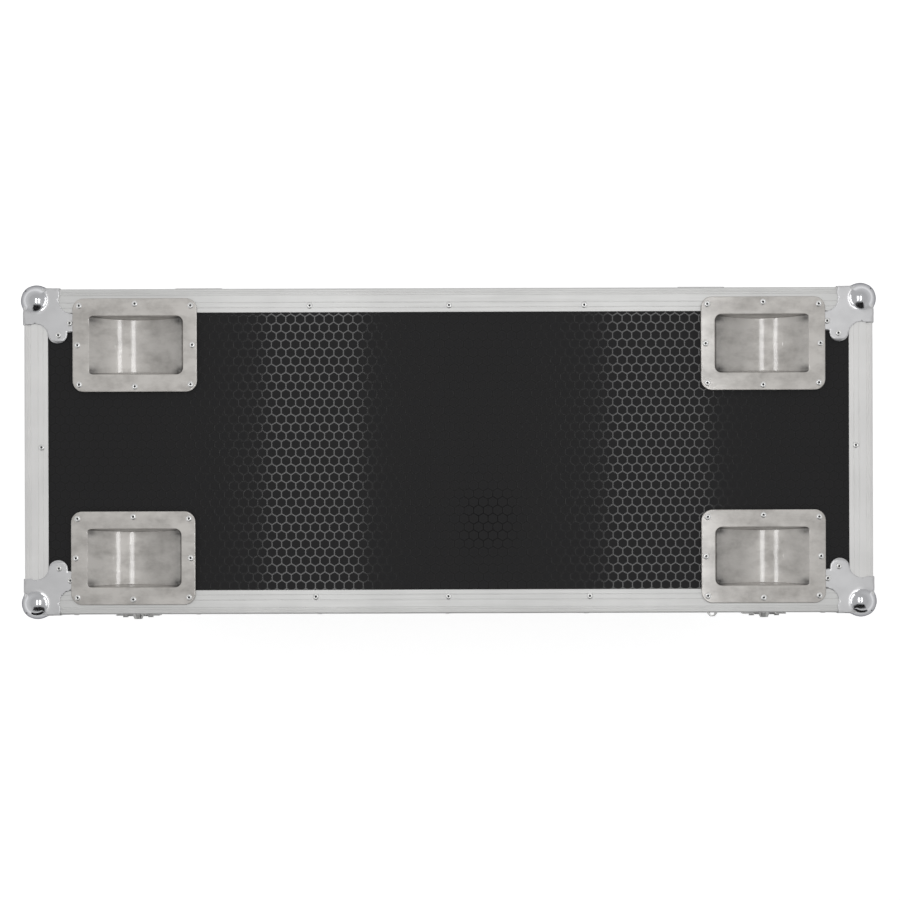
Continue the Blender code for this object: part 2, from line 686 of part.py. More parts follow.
def handle_dish():
    """The right-hand dish: flange, pan and two ears that carry the bail."""
    half_y, half_z = HANDLE_PAN
    outline = rounded_rectangle((0, HANDLE_Z), HANDLE_FLANGE[:2], HANDLE_FLANGE[2])
    flange = prism(outline, X, right(GAP), right(GAP + PRESSED))
    pan = box(
        (right(GAP), -half_y - PRESSED, HANDLE_Z - half_z - PRESSED),
        (right(HANDLE_BACK + PRESSED), half_y + PRESSED, HANDLE_Z + half_z + PRESSED),
    )
    hollow = box(
        (right(-REACH), -half_y, HANDLE_Z - half_z),
        (right(HANDLE_BACK), half_y, HANDLE_Z + half_z),
    )
    shell = combined([flange, pan], [hollow])
    overlap = PRESSED / 2
    ear_face, ear_inner = BAIL_DEPTH - EAR_BLOCK, BAIL_LEG + EAR_BLOCK
    ears = [
        box(
            (right(ear_face), side * ear_inner, BAIL_PIVOT_Z - EAR_BLOCK),
            (right(HANDLE_BACK + overlap), side * (half_y + overlap), BAIL_PIVOT_Z + EAR_BLOCK),
        )
        for side in (-1, 1)
    ]
    centre, bore_radius = (right(BAIL_DEPTH), BAIL_PIVOT_Z), BAIL_RADIUS + BAIL_PLAY
    bores = [
        rod(bore_radius, Y, centre, side * (ear_inner - REACH), side * (half_y - GAP / 3))
        for side in (-1, 1)
    ]
    return combined([shell] + ears, bores)


def tube(points, radius, sides=12):
    """A round bar along a path, closed at both ends."""
    curve = bpy.data.curves.new("path", "CURVE")
    curve.dimensions = "3D"
    curve.bevel_depth = radius
    curve.bevel_resolution = sides // 4 - 1
    curve.use_fill_caps = True
    spline = curve.splines.new("POLY")
    spline.points.add(len(points) - 1)
    for target, point in zip(spline.points, points):
        target.co = (*point, 1.0)
    holder = bpy.data.objects.new("path", curve)
    bpy.context.scene.collection.objects.link(holder)
    graph = bpy.context.evaluated_depsgraph_get()
    bm = bmesh.new()
    bm.from_mesh(bpy.data.meshes.new_from_object(holder.evaluated_get(graph)))
    bmesh.ops.remove_doubles(bm, verts=bm.verts, dist=1e-6)
    bpy.data.objects.remove(holder)
    return finished_mesh(bm)


def handle_bail():
    """A bent bar with a thick grip, hanging from its two pivots."""
    end = HANDLE_PAN[0] - 2 * BAIL_PLAY
    corners = [(-end, BAIL_PIVOT_Z), (-BAIL_LEG, BAIL_PIVOT_Z), (-BAIL_LEG, GRIP_Z)]
    corners += [(-y, z) for y, z in reversed(corners)]
    path = rounded(corners, BAIL_BEND, closed=False)
    bar = tube([(right(BAIL_DEPTH), point.x, point.y) for point in path], BAIL_RADIUS)
    half, soft = GRIP_HALF, REACH
    profile = (
        (0, -half), (GRIP_RADIUS - soft, -half), (GRIP_RADIUS, soft - half),
        (GRIP_RADIUS, half - soft), (GRIP_RADIUS - soft, half), (0, half),
    )
    grip = turned(profile, Y, (right(BAIL_DEPTH), GRIP_Z))
    return combined([bar, grip])


def add_handles(steel, rubber):
    dish, bail = handle_dish(), handle_bail()
    for name, sign in SIDES:
        pivot = add_axis(f"handle_axis_{name}", (sign * right(BAIL_DEPTH), 0, BAIL_PIVOT_Z))
        add_part(f"handle_dish_{name}", mirrored(dish, (sign, 1, 1)), steel)
        add_part(f"handle_bail_{name}", mirrored(bail, (sign, 1, 1)), rubber, pivot)


# ---------------------------------------------------------------- foam linings

def base_foam():
    """A tray with a window behind each handle dish."""
    bottom = BASE_BOTTOM + SKIN + PLY + GAP
    top = PARTING - RIM_INNER - 2 * GAP
    outer_x, outer_y = HALF_L - INNER, HALF_D - INNER
    inner_x, inner_y = outer_x - FOAM, outer_y - FOAM
    tray = box((-outer_x, -outer_y, bottom), (outer_x, outer_y, top))
    room = box((-inner_x, -inner_y, bottom + FOAM), (inner_x, inner_y, top + REACH))
    return combined([tray], [room, handle_cutter()])


def lid_foam():
    """A pad under the top board with a pocket over each castor dish."""
    top = LID_TOP - INNER
    half_x, half_y = HALF_L - INNER, HALF_D - INNER
    pad = box((-half_x, -half_y, top - 2 * FOAM), (half_x, half_y, top))
    pocket_floor = LID_TOP + DISH_FACE - DISH_DEPTH - 2 * GAP - PRESSED
    return combined([pad], dish_cutters(pocket_floor, top + REACH))


# ---------------------------------------------------------------- the case

def main():
    for item in list(bpy.data.objects):
        bpy.data.objects.remove(item)
    board = make_look("hex_board", (0.022, 0.021, 0.022), 0.45, 0.0)
    aluminium = make_look("edge_aluminium", (0.72, 0.72, 0.71), 0.32, 1.0)
    chrome = make_look("pressed_steel", (0.62, 0.61, 0.60), 0.25, 1.0)
    foam = make_look("foam", (0.030, 0.030, 0.032), 0.95, 0.0)
    rubber = make_look("black_rubber", (0.025, 0.025, 0.025), 0.6, 0.0)
    tread = make_look("blue_rubber", (0.02, 0.09, 0.32), 0.5, 0.0)

    lid = add_axis("lid_axis", HINGE_AXIS)
    add_base_boards(board)
    add_lid_boards(board, lid)
    add_part("base_edge_frame", edge_frame(BASE_BOTTOM, PARTING - RIM_SKIRT - GAP, BASE_BOTTOM), aluminium)
    add_part("lid_edge_frame", edge_frame(PARTING + RIM_SKIRT + GAP, LID_TOP, LID_TOP), aluminium, lid)
    add_part("base_rim", base_rim(), aluminium)
    add_part("lid_rim", lid_rim(), aluminium, lid)
    add_ball_corners(chrome, lid)
    add_castor_dishes(chrome, lid)
    add_castors(chrome, tread)
    add_latches(chrome, lid)
    add_staples(chrome, lid)
    add_hinges(chrome, lid)
    add_handles(chrome, rubber)
    add_part("base_foam_lining", base_foam(), foam)
    add_part("lid_foam_lining", lid_foam(), foam, lid)


main()
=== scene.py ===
"""Looks of a long hard equipment case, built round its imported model.

Lengths are in metres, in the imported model's frame: +X along the case, -Y the front
with the latches, +Z up.  A depth is measured inwards from the outer plane of the
edge angles, so a negative depth stands proud of the case.
"""

import math

import bmesh
import bpy
from mathutils import Matrix, Vector
from mathutils.geometry import delaunay_2d_cdt, tessellate_polygon


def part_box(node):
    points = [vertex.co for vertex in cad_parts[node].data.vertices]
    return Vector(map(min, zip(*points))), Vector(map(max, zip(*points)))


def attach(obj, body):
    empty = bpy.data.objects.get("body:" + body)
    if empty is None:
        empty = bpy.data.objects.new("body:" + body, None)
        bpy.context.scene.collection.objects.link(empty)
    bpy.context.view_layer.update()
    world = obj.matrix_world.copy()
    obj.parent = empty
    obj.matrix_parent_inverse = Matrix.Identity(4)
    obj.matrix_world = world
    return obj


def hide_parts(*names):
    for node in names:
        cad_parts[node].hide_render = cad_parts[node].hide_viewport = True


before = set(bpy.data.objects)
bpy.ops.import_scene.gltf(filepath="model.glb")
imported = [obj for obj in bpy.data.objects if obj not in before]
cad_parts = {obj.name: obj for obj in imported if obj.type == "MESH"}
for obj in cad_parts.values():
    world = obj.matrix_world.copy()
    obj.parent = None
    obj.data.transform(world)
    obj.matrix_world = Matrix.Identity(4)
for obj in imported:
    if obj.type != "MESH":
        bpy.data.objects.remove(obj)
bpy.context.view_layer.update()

# ---- sizes read from the frame

EDGE_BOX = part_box("lid_edge_frame")
HALF_L, HALF_D, LID_TOP = EDGE_BOX[1]
BASE_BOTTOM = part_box("base_edge_frame")[0].z
BASE_EDGE_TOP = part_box("base_edge_frame")[1].z
LID_EDGE_BASE = EDGE_BOX[0].z
RIM_FACE = 0.00015
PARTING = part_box("base_rim")[1].z + RIM_FACE

# ---- finishing sizes

EDGE = 0.035                    # leg of the edge angle
ANGLE_SHEET = 0.0013
TRIM = 0.020                    # how far the angles stop short of the case's corners
GROOVES = (0.0046, 0.0070, 0.0096, 0.0205, 0.0280)
GROOVE_HALF, GROOVE_FLOOR, GROOVE_DEEP = 0.0006, 0.0003, 0.0004
BALL_RADIUS, BALL_INSET = 0.0232, 0.0160        # a corner's ball, and its centre's depth
PLATE_OUT, PLATE_SHEET = 0.0015, 0.0012         # how proud a corner's legs stand, and their sheet
CORNER_STEP, COARSE_STEP = 0.0012, 0.0026       # between the points of a corner's mesh
FINE_REACH, LEG_REACH = 0.044, 0.080            # how far from the corner either step goes
FOLD_BLEND, BALL_BLEND = 0.0030, 0.0048         # widths of the soft creases
LEG_START, FOLD_DELAY, LEG_GROWTH = 0.0040, 0.0085, 0.0055      # where the legs leave the ball
CHROME_RIM = 0.0022                             # how far the ball's plating reaches beyond it
CORNER_RIVETS = ((0.0666, 0.0496), (0.0502, 0.0672))            # on each leg
RIVET_RADIUS, RIVET_HEIGHT = 0.0046, 0.0015
EDGE_RIVET_INSET = 0.0250
DISH_FLANGE = (0.0905, 0.0680, 0.0160)          # half length, half width and corner radius
DISH_MOUTH = (0.0695, 0.0420, 0.0090)           # the same, where the flange turns down
DISH_DEEP, DISH_SHEET = 0.026, 0.0011
DISH_RIVETS = ((0.0811, 0.0574), 0.0602, 0.0835)        # at the corners, and along Y and X
# The dishes were set by hand, a millimetre or two off the castors below them.
DISH_SHIFT = {
    "front_left": -0.0011, "front_right": -0.0004,
    "rear_left": 0.0019, "rear_right": -0.0004,
}
RIM_SHEET, RIM_INNER, RIM_WALL, RIM_SKIRT = 0.0013, 0.0116, 0.0131, 0.025
NOTCH_HALF, NOTCH_OUT, NOTCH_IN = 0.0478, 0.002, 0.0115         # the rims' cut behind a latch
LATCH_RIVET_X, LATCH_RIVET_LOW, LATCH_RIVET_HIGH = 0.0512, 0.006, 0.010
HINGE_OUT, HINGE_RIVET_X, HINGE_RIVET_ROWS = 0.0021, 0.022, (0.010, 0.030)
HANDLE_RIVET_Y, HANDLE_RIVET_Z = 0.0775, 0.0475
BRACE_ARM, BRACE_TALL, BRACE_OUT, BRACE_SHEET, BRACE_BEND = 0.046, 0.021, 0.0013, 0.0010, 0.0030
BRACE_GAP, BRACE_RIVETS = 0.0012, (0.016, 0.036)                # from the parting and the corner
CASTOR_SHEET, CASTOR_Y, WHEEL_RADIUS = 0.003, 0.155, 0.050
BOLT_X, BOLT_Y, NUT_OUT = 0.033, 0.036, 0.0236                  # from the castor's middle
HEX_PITCH, HEX_LINE = 0.0140, 0.0018
HEX_PHASE = (0.0571, -0.0869)                   # a cell's centre on the lid
X, Y, Z = Vector((1, 0, 0)), Vector((0, 1, 0)), Vector((0, 0, 1))
SIDES = (("left", -1), ("right", 1))
CORNERS = (
    ("front_left", -1, -1), ("front_right", 1, -1),
    ("rear_left", -1, 1), ("rear_right", 1, 1),
)


# ---- materials

class Look:
    """A procedural material, with short calls that add nodes to it."""

    def __init__(self, name, colour=(0.8, 0.8, 0.8), roughness=0.5, metallic=0.0):
        self.material = bpy.data.materials.new(name)
        self.material.use_nodes = True
        self.tree = self.material.node_tree
        self.shader = self.tree.nodes["Principled BSDF"]
        self.shader.inputs["Base Color"].default_value = (*colour, 1.0)
        self.shader.inputs["Roughness"].default_value = roughness
        self.shader.inputs["Metallic"].default_value = metallic
        self.place = self.tree.nodes.new("ShaderNodeTexCoord").outputs["Object"]

    def feed(self, socket, value):
        if isinstance(value, bpy.types.NodeSocket):
            self.tree.links.new(value, socket)
        else:
            socket.default_value = value

    def node(self, kind, sockets=(), output=0, **settings):
        """Adds a node; sockets pairs an input's name or number with what it takes."""
        node = self.tree.nodes.new("ShaderNode" + kind)
        for key, value in settings.items():
            setattr(node, key, value)
        for key, value in sockets:
            self.feed(node.inputs[key], value)
        return node.outputs[output]

    def math(self, operation, first, second=0.0):
        return self.node("Math", ((0, first), (1, second)), operation=operation)

    def vector(self, operation, first, second=(0, 0, 0), output=0):
        return self.node("VectorMath", ((0, first), (1, second)), output, operation=operation)

    def ramp(self, value, low, high, to_low=0.0, to_high=1.0, smooth=False):
        """The value, mapped from one range to another and held at its ends."""
        sockets = (("Value", value), ("From Min", low), ("From Max", high),
                   ("To Min", to_low), ("To Max", to_high))
        kind = "SMOOTHSTEP" if smooth else "LINEAR"
        return self.node("MapRange", sockets, interpolation_type=kind)

    def noise(self, scale, detail=3.0, stretch=(1, 1, 1), roughness=0.55):
        place = self.vector("MULTIPLY", self.place, stretch)
        sockets = (("Vector", place), ("Scale", scale), ("Detail", detail), ("Roughness", roughness))
        return self.node("TexNoise", sockets)

    def mix(self, share, first, second):
        """A blend of two colours, either of which may come from another node."""
        ends = [end if isinstance(end, bpy.types.NodeSocket) else (*end, 1.0)
                for end in (first, second)]
        return self.node("Mix", ((0, share), (6, ends[0]), (7, ends[1])), 2, data_type="RGBA")

    def colour(self, share, first, second):
        self.feed(self.shader.inputs["Base Color"], self.mix(share, first, second))

    def roughness(self, value):
        self.feed(self.shader.inputs["Roughness"], value)

    def gloss(self, weight, roughness, ior=1.7):
        """A thin sharp sheen over the broad one, as on a wiped metal surface."""
        self.shader.inputs["Coat Weight"].default_value = weight
        self.shader.inputs["Coat Roughness"].default_value = roughness
        self.shader.inputs["Coat IOR"].default_value = ior

    def bump(self, height, strength, distance):
        sockets = (("Height", height), ("Strength", strength), ("Distance", distance))
        self.feed(self.shader.inputs["Normal"], self.node("Bump", sockets))


def hex_board(name, first, second):
    """Matt black film with glossy raised lines round pointed-up hexagons.

    first and second are the numbers of the two axes that the board spreads over.
    """
    look = Look(name)
    parts = look.tree.nodes.new("ShaderNodeSeparateXYZ")
    look.feed(parts.inputs[0], look.place)
    cell = (1.0, math.sqrt(3), 1.0)
    half = (cell[0] / 2, cell[1] / 2, 0.0)
    far = 200               # whole cells added, so that every remainder is positive
    lanes = []
    for axis, phase, size in zip((first, second), HEX_PHASE, cell):
        scaled = look.math("DIVIDE", look.math("SUBTRACT", parts.outputs[axis], phase), HEX_PITCH)
        lanes.append(look.math("ADD", scaled, far * size))
    flat = look.node("CombineXYZ", ((0, lanes[0]), (1, lanes[1])))
    near = look.vector("SUBTRACT", look.vector("MODULO", flat, cell), half)
    shifted = look.vector("MODULO", look.vector("ADD", flat, half), cell)
    other = look.vector("SUBTRACT", shifted, half)
    sizes = [look.vector("LENGTH", spot, output=1) for spot in (near, other)]
    closer = look.math("LESS_THAN", sizes[0], sizes[1])
    spot = look.node("Mix", ((0, closer), (4, other), (5, near)), 1, data_type="VECTOR")
    reach = look.tree.nodes.new("ShaderNodeSeparateXYZ")
    look.feed(reach.inputs[0], look.vector("ABSOLUTE", spot))
    slant = look.math("ADD", look.math("MULTIPLY", reach.outputs[0], 0.5),
                      look.math("MULTIPLY", reach.outputs[1], math.sqrt(3) / 2))
    edge = look.math("MAXIMUM", reach.outputs[0], slant)
    width = HEX_LINE / HEX_PITCH / 2
    line = look.ramp(edge, 0.5 - width * 1.25, 0.5 - width * 0.75, smooth=True)
    grain = look.noise(900, 2.0)
    tint = look.noise(60, 2.0)
    film = look.mix(tint, (0.0146, 0.0133, 0.0137), (0.0126, 0.0131, 0.0145))
    look.colour(line, film, (0.0125, 0.0123, 0.0127))
    matt, glossy = look.ramp(grain, 0.3, 0.7, 0.60, 0.70), 0.065
    look.roughness(look.node("Mix", ((0, line), (2, matt), (3, glossy)), data_type="FLOAT"))
    look.shader.inputs["Specular IOR Level"].default_value = 0.30
    relief = look.math("ADD", line, look.math("MULTIPLY", grain, 0.12))
    look.bump(relief, 0.12, 0.00012)
    return look.material


def brushed_metal(name, colour, smooth, rough, along):
    """Drawn or brushed metal; along is the axis that its fine streaks follow."""
    look = Look(name, colour, rough, 1.0)
    stretch = [900.0, 900.0, 900.0]
    stretch[along] = 9.0
    streaks = look.noise(1.0, 3.0, stretch)
    clouds = look.noise(14, 3.0)
    dark = [value * 0.94 for value in colour]
    look.colour(look.ramp(clouds, 0.35, 0.65), dark, colour)
    look.roughness(look.ramp(streaks, 0.3, 0.7, smooth, rough))
    look.gloss(0.6, 0.22, 1.5)
    look.bump(streaks, 0.12, 0.00006)
    return look.material


def smudged_steel(name, colour, dark, smooth, rough):
    """Stainless sheet with faint handling marks, wiped stains and fine scratches, and a painted shade,
    broken up by noise, where the mesh's shade attribute asks for it.
    """
    look = Look(name, colour, rough, 1.0)
    smears = look.noise(26, 5.0, (1.0, 1.6, 1.0), 0.62)
    spots = look.noise(95, 3.0)
    stain = look.math("MULTIPLY", look.ramp(smears, 0.42, 0.68),
                      look.ramp(spots, 0.3, 0.6, 0.5, 1.0))
    worn = look.mix(stain, colour, dark)
    # Painted shade from the dish's per-point attribute, made patchy by noise, darkens the colour
    # towards near-black.
    painted_shade = look.node("Attribute", (), 2, attribute_name="painted_shade")
    patchy_shade = look.math("MULTIPLY", painted_shade, look.ramp(look.noise(150, 3.0), 0.35, 0.6, 0.75, 1.0))
    look.colour(patchy_shade, worn, (0.06, 0.055, 0.05))
    scratches = look.noise(1.0, 2.0, (60.0, 1400.0, 60.0))
    look.roughness(look.math("ADD", look.ramp(smears, 0.35, 0.7, smooth, rough),
                             look.ramp(scratches, 0.4, 0.8, 0.0, 0.06)))
    look.gloss(1.0, 0.10)
    relief = look.math("ADD", look.noise(11, 2.0), look.math("MULTIPLY", scratches, 0.03))
    look.bump(relief, 0.08, 0.0005)
    return look.material


def clouded(name, colour, smooth, rough, scale, detail, fade, dents):
    """Metal that fades and roughens in soft clouds, with a faint orange-peel relief."""
    look = Look(name, colour, rough, 1.0)
    clouds = look.noise(scale, detail)
    dull = [value * fade for value in colour]
    look.colour(look.ramp(clouds, 0.4, 0.7), colour, dull)
    look.roughness(look.ramp(clouds, 0.3, 0.7, smooth, rough))
    look.bump(look.noise(220, 2.0), dents, 0.0001)
    return look


def plated(name, colour, smooth, rough, scale=40):
    """Zinc plating or bare aluminium under a bright sheen."""
    look = clouded(name, colour, smooth, rough, scale, 4.0, 0.93, 0.05)
    look.gloss(1.0, 0.06, 1.8)
    return look.material


def mirrored_steel(name, colour, rim, smooth, rough):
    """Polished plating that darkens towards its rim."""
    look = clouded(name, colour, smooth, rough, 60, 3.0, 0.95, 0.04)
    look.shader.inputs["Specular Tint"].default_value = (*rim, 1.0)
    return look.material


def moulded(name, colour, light, roughness, scale=700, depth=0.0002):
    """Rubber, plastic or foam with a fine surface grain."""
    look = Look(name, colour, roughness)
    patches = look.noise(35, 3.0)
    look.colour(look.ramp(patches, 0.35, 0.65), colour, light)
    grain = look.noise(scale, 3.0)
    look.roughness(look.ramp(grain, 0.3, 0.7, roughness - 0.08, roughness + 0.06))
    look.bump(grain, 0.4, depth)
    return look.material


BOARDS = {
    "top": hex_board("hex_board_flat", 0, 1),
    "long": hex_board("hex_board_long", 0, 2),
    "end": hex_board("hex_board_end", 1, 2),
}
ALUMINIUM = [
    brushed_metal("edge_aluminium_x", (0.86, 0.86, 0.85), 0.52, 0.62, 0),
    # The angles along Y, across the case's ends, take a lighter colour than the same aluminium
    # elsewhere: painted light.
    brushed_metal("edge_aluminium_y", (0.97, 0.965, 0.955), 0.52, 0.62, 1),
    brushed_metal("edge_aluminium_z", (0.86, 0.86, 0.85), 0.52, 0.62, 2),
]
STAINLESS = smudged_steel("dish_stainless", (0.697, 0.672, 0.641), (0.522, 0.50, 0.473), 0.50, 0.60)
CORNER_STEEL = plated("corner_steel", (0.74, 0.74, 0.75), 0.38, 0.46)
BALL_CHROME = mirrored_steel("ball_chrome", (0.86, 0.865, 0.89), (0.45, 0.45, 0.48), 0.12, 0.17)
FITTING_STEEL = plated("fitting_steel", (0.50, 0.50, 0.49), 0.24, 0.34)
ZINC = plated("castor_zinc", (0.60, 0.60, 0.58), 0.36, 0.48, 60)
RIVET = plated("rivet_aluminium", (0.93, 0.93, 0.92), 0.30, 0.42, 120)
# Near-black painted shade for the floor of a rivet's hole.
RIVET_HOLE_SHADE = moulded("rivet_hole_shade", (0.02, 0.02, 0.02), (0.03, 0.03, 0.03), 0.6)
FOAM = moulded("foam", (0.020, 0.020, 0.021), (0.030, 0.030, 0.032), 0.92, 420, 0.0010)
GRIP_RUBBER = moulded("grip_rubber", (0.016, 0.016, 0.017), (0.024, 0.024, 0.025), 0.55)
BLUE_RUBBER = moulded("tread_rubber", (0.018, 0.085, 0.30), (0.026, 0.105, 0.34), 0.42, 500, 0.0001)
HUB_PLASTIC = moulded("hub_plastic", (0.30, 0.31, 0.32), (0.34, 0.35, 0.36), 0.42, 500, 0.00008)


# ---- mesh helpers

def mesh_from(bm):
    """A mesh with its faces turned outwards; the working copy is freed."""
    bmesh.ops.recalc_face_normals(bm, faces=bm.faces)
    mesh = bpy.data.meshes.new("shape")
    bm.to_mesh(mesh)
    bm.free()
    return mesh


def linked(name, data):
    """A new object in the scene."""
    item = bpy.data.objects.new(name, data)
    bpy.context.scene.collection.objects.link(item)
    return item


def add_piece(name, mesh, look, body, nodes, sharp, dress=None):
    """A shown piece that rides on a body and may stand for CAD nodes.

    look goes to a mesh without materials, edges are sharp from an angle in degrees,
    and dress adds modifiers.
    """
    mesh.name = name
    mesh.shade_smooth()
    mesh.set_sharp_from_angle(angle=math.radians(sharp))
    if not mesh.materials:
        mesh.materials.append(look)
    piece = linked(name, mesh)
    if dress:
        dress(piece)
    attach(piece, body)
    if nodes:
        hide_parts(*nodes)
    return piece


def arc(centre, radius, start, end, steps):
    """Points on an arc in the drawing plane, angles in degrees."""
    angles = [math.radians(start + (end - start) * i / steps) for i in range(steps + 1)]
    return [(centre[0] + radius * math.cos(a), centre[1] + radius * math.sin(a)) for a in angles]


def loft(loops, closed=False):
    """Quads between loops of equal length; closed joins the last loop to the first."""
    bm = bmesh.new()
    rows = [[bm.verts.new(point) for point in loop] for loop in loops]
    count = len(rows[0])
    pairs = list(zip(rows, rows[1:])) + ([(rows[-1], rows[0])] if closed else [])
    for here, after in pairs:
        for i in range(count):
            j = (i + 1) % count
            bm.faces.new((here[i], here[j], after[j], after[i]))
    return bm, rows


def turned(profile, steps, closed=False):
    """A body turned about +Z from (radius, height) points; points on the axis close it."""
    bm = bmesh.new()
    rows = []
    for radius, height in profile:
        angles = [2 * math.pi * (i + 0.5) / steps for i in range(steps if radius > 0 else 1)]
        ring = [(radius * math.cos(a), radius * math.sin(a), height) for a in angles]
        rows.append([bm.verts.new(point) for point in ring])
    pairs = list(zip(rows, rows[1:])) + ([(rows[-1], rows[0])] if closed else [])
    for here, after in pairs:
        for i in range(steps):
            corners = [here[i % len(here)], here[(i + 1) % len(here)],
                       after[(i + 1) % len(after)], after[i % len(after)]]
            distinct = list(dict.fromkeys(corners))
            if len(distinct) > 2:
                bm.faces.new(distinct)
    return mesh_from(bm)


def facing(normal, point):
    """The matrix that stands a +Z shape up along a normal at a point."""
    return Matrix.Translation(point) @ Vector(normal).to_track_quat("Z", "Y").to_matrix().to_4x4()


def gathered(mesh, places, looks=()):
    """One mesh with a copy of a shape at each of the matrices."""
    bm = bmesh.new()
    for place in places:
        copy = mesh.copy()
        copy.transform(place)
        bm.from_mesh(copy)
        bpy.data.meshes.remove(copy)
    result = bpy.data.meshes.new("group")
    bm.to_mesh(result)
    bm.free()
    for look in looks:
        result.materials.append(look)
    return result


def mirrored(mesh, signs, offset):
    """A copy scaled by a sign on each axis and then moved, with its faces still outwards."""
    copy = mesh.copy()
    copy.transform(Matrix.Translation(offset) @ Matrix.Diagonal((*signs, 1.0)))
    if signs[0] * signs[1] * signs[2] < 0:
        copy.flip_normals()
    return copy


def slab(outline, start, end):
    """A prism of an (x, y) outline between two heights."""
    bm = bmesh.new()
    face = bm.faces.new([bm.verts.new((x, y, start)) for x, y in outline])
    new = bmesh.ops.extrude_face_region(bm, geom=[face])["geom"]
    raised = [item for item in new if isinstance(item, bmesh.types.BMVert)]
    bmesh.ops.translate(bm, vec=(0.0, 0.0, end - start), verts=raised)
    return mesh_from(bm)


def rounded_box(hx, hy, radius):
    """Outline of a rectangle with round corners."""
    points = []
    for sx, sy, start in ((1, 1, 0), (-1, 1, 90), (-1, -1, 180), (1, -1, 270)):
        points += arc((sx * (hx - radius), sy * (hy - radius)), radius, start, start + 90, 5)
    return points


def bevelled(width, segments, angle=30):
    """A dress that rounds a piece's sharp edges, or with no angle its weighted ones."""
    def dress(piece):
        bevel = piece.modifiers.new("round_edges", "BEVEL")
        bevel.width = width
        bevel.segments = segments
        bevel.limit_method = "ANGLE" if angle else "WEIGHT"
        bevel.angle_limit = math.radians(angle or 0)
        bevel.harden_normals = True
        bevel.use_clamp_overlap = True
    return dress


def softened(node, look, body, width, segments=2, suffix="fine", sharp_level=None):
    """A CAD node's shape, cleaned of facets and with its edges rounded.

    Edges that lie at sharp_level, a height, are left as they are.
    """
    bm = bmesh.new()
    bm.from_mesh(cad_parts[node].data)
    bmesh.ops.remove_doubles(bm, verts=bm.verts, dist=0.000002)
    bmesh.ops.dissolve_limit(bm, angle_limit=math.radians(0.5), verts=bm.verts, edges=bm.edges)
    dress = bevelled(width, segments)
    if sharp_level is not None:
        weight = bm.edges.layers.float.new("bevel_weight_edge")
        for edge in bm.edges:
            level = all(abs(vertex.co.z - sharp_level) < 0.00002 for vertex in edge.verts)
            if not level and edge.is_manifold and edge.calc_face_angle() > math.radians(30):
                edge[weight] = 1.0
        dress = bevelled(width, segments, None)
    mesh = mesh_from(bm)
    mesh.materials.clear()
    return add_piece(f"{node}_{suffix}", mesh, look, body, (node,), 30, dress)


def cut_with(piece, low, high):
    """Takes a box out of a piece for good."""
    outline = ((low[0], low[1]), (high[0], low[1]), (high[0], high[1]), (low[0], high[1]))
    cutter = linked("cutter", slab(outline, low[2], high[2]))
    modifier = piece.modifiers.new("cut", "BOOLEAN")
    modifier.operation = "DIFFERENCE"
    modifier.solver = "EXACT"
    modifier.object = cutter
    graph = bpy.context.evaluated_depsgraph_get()
    mesh = bpy.data.meshes.new_from_object(piece.evaluated_get(graph))
    piece.modifiers.remove(modifier)
    piece.data = mesh
    bpy.data.objects.remove(cutter)


# ---- rivets

def rivet_shape():
    """A blind rivet: a domed ring round the hole of its mandrel, whose floor is painted near-black as
    painted shade.
    """
    hole, soft, out, top = 0.00150, 0.0002, RIVET_RADIUS, RIVET_HEIGHT
    ring = [(0.0, soft), (hole, soft), (hole, top - soft), (hole + soft, top)]
    ring += [(out - 0.0016, top - 0.0001), (out - 0.0008, top - 0.0005), (out - 0.0002, top - 0.0010)]
    ring.append((out, 0.0))
    mesh = turned(ring + [(0.0, -0.0001)], 24)
    # The hole's floor takes the second material, a near-black painted shade.
    for face in mesh.polygons:
        middle = face.center
        face.material_index = int(math.hypot(middle.x, middle.y) < hole * 0.9 and middle.z > 0)
    return mesh


RIVET_SHAPE = rivet_shape()


def rivets(name, spots, body):
    """One piece with a rivet at each (point, normal)."""
    places = [facing(normal, point) for point, normal in spots]
    mesh = gathered(RIVET_SHAPE, places, (RIVET, RIVET_HOLE_SHADE))
    add_piece(name, mesh, None, body, (), 50)


# ---- edge angles and rims

def ribbed(leg, reach):
    """Points along one leg's outer face, from its lip to near the bend, with grooves."""
    points = [(reach, 0.0006), (reach - 0.0002, 0.0002), (reach - 0.0006, 0.0)]
    for groove in sorted(leg, reverse=True):
        points += [
            (groove + GROOVE_HALF, 0.0), (groove + GROOVE_FLOOR, GROOVE_DEEP),
            (groove - GROOVE_FLOOR, GROOVE_DEEP), (groove - GROOVE_HALF, 0.0),
        ]
    return points


def angle_section():
    """Outline of the ribbed edge angle, as inward distances on its two faces."""
    bend = 0.0022
    leg = ribbed(GROOVES, EDGE)
    outline = leg + arc((bend, bend), bend, 270, 180, 5) + [(q, p) for p, q in reversed(leg)]
    return outline + [(ANGLE_SHEET, EDGE), (ANGLE_SHEET, ANGLE_SHEET), (EDGE, ANGLE_SHEET)]


def add_angle(name, origin, along, first, second, length, mitre_far, look, body, node):
    """A length of edge angle, mitred where it meets its neighbours at a case corner."""
    loops = []
    for far in (False, True):
        loop = []
        for p, q in angle_section():
            back = max(p, q, TRIM)
            travel = length - (back if mitre_far else 0.0) if far else back
            loop.append(Vector(origin) + along * travel + first * p + second * q)
        loops.append(loop)
    bm, rows = loft(loops)
    section = [Vector((p, q, 0.0)) for p, q in angle_section()]
    for row in rows:
        for corners in tessellate_polygon([section]):
            bm.faces.new([row[i] for i in corners])
    add_piece(name, mesh_from(bm), look, body, (node,), 20)


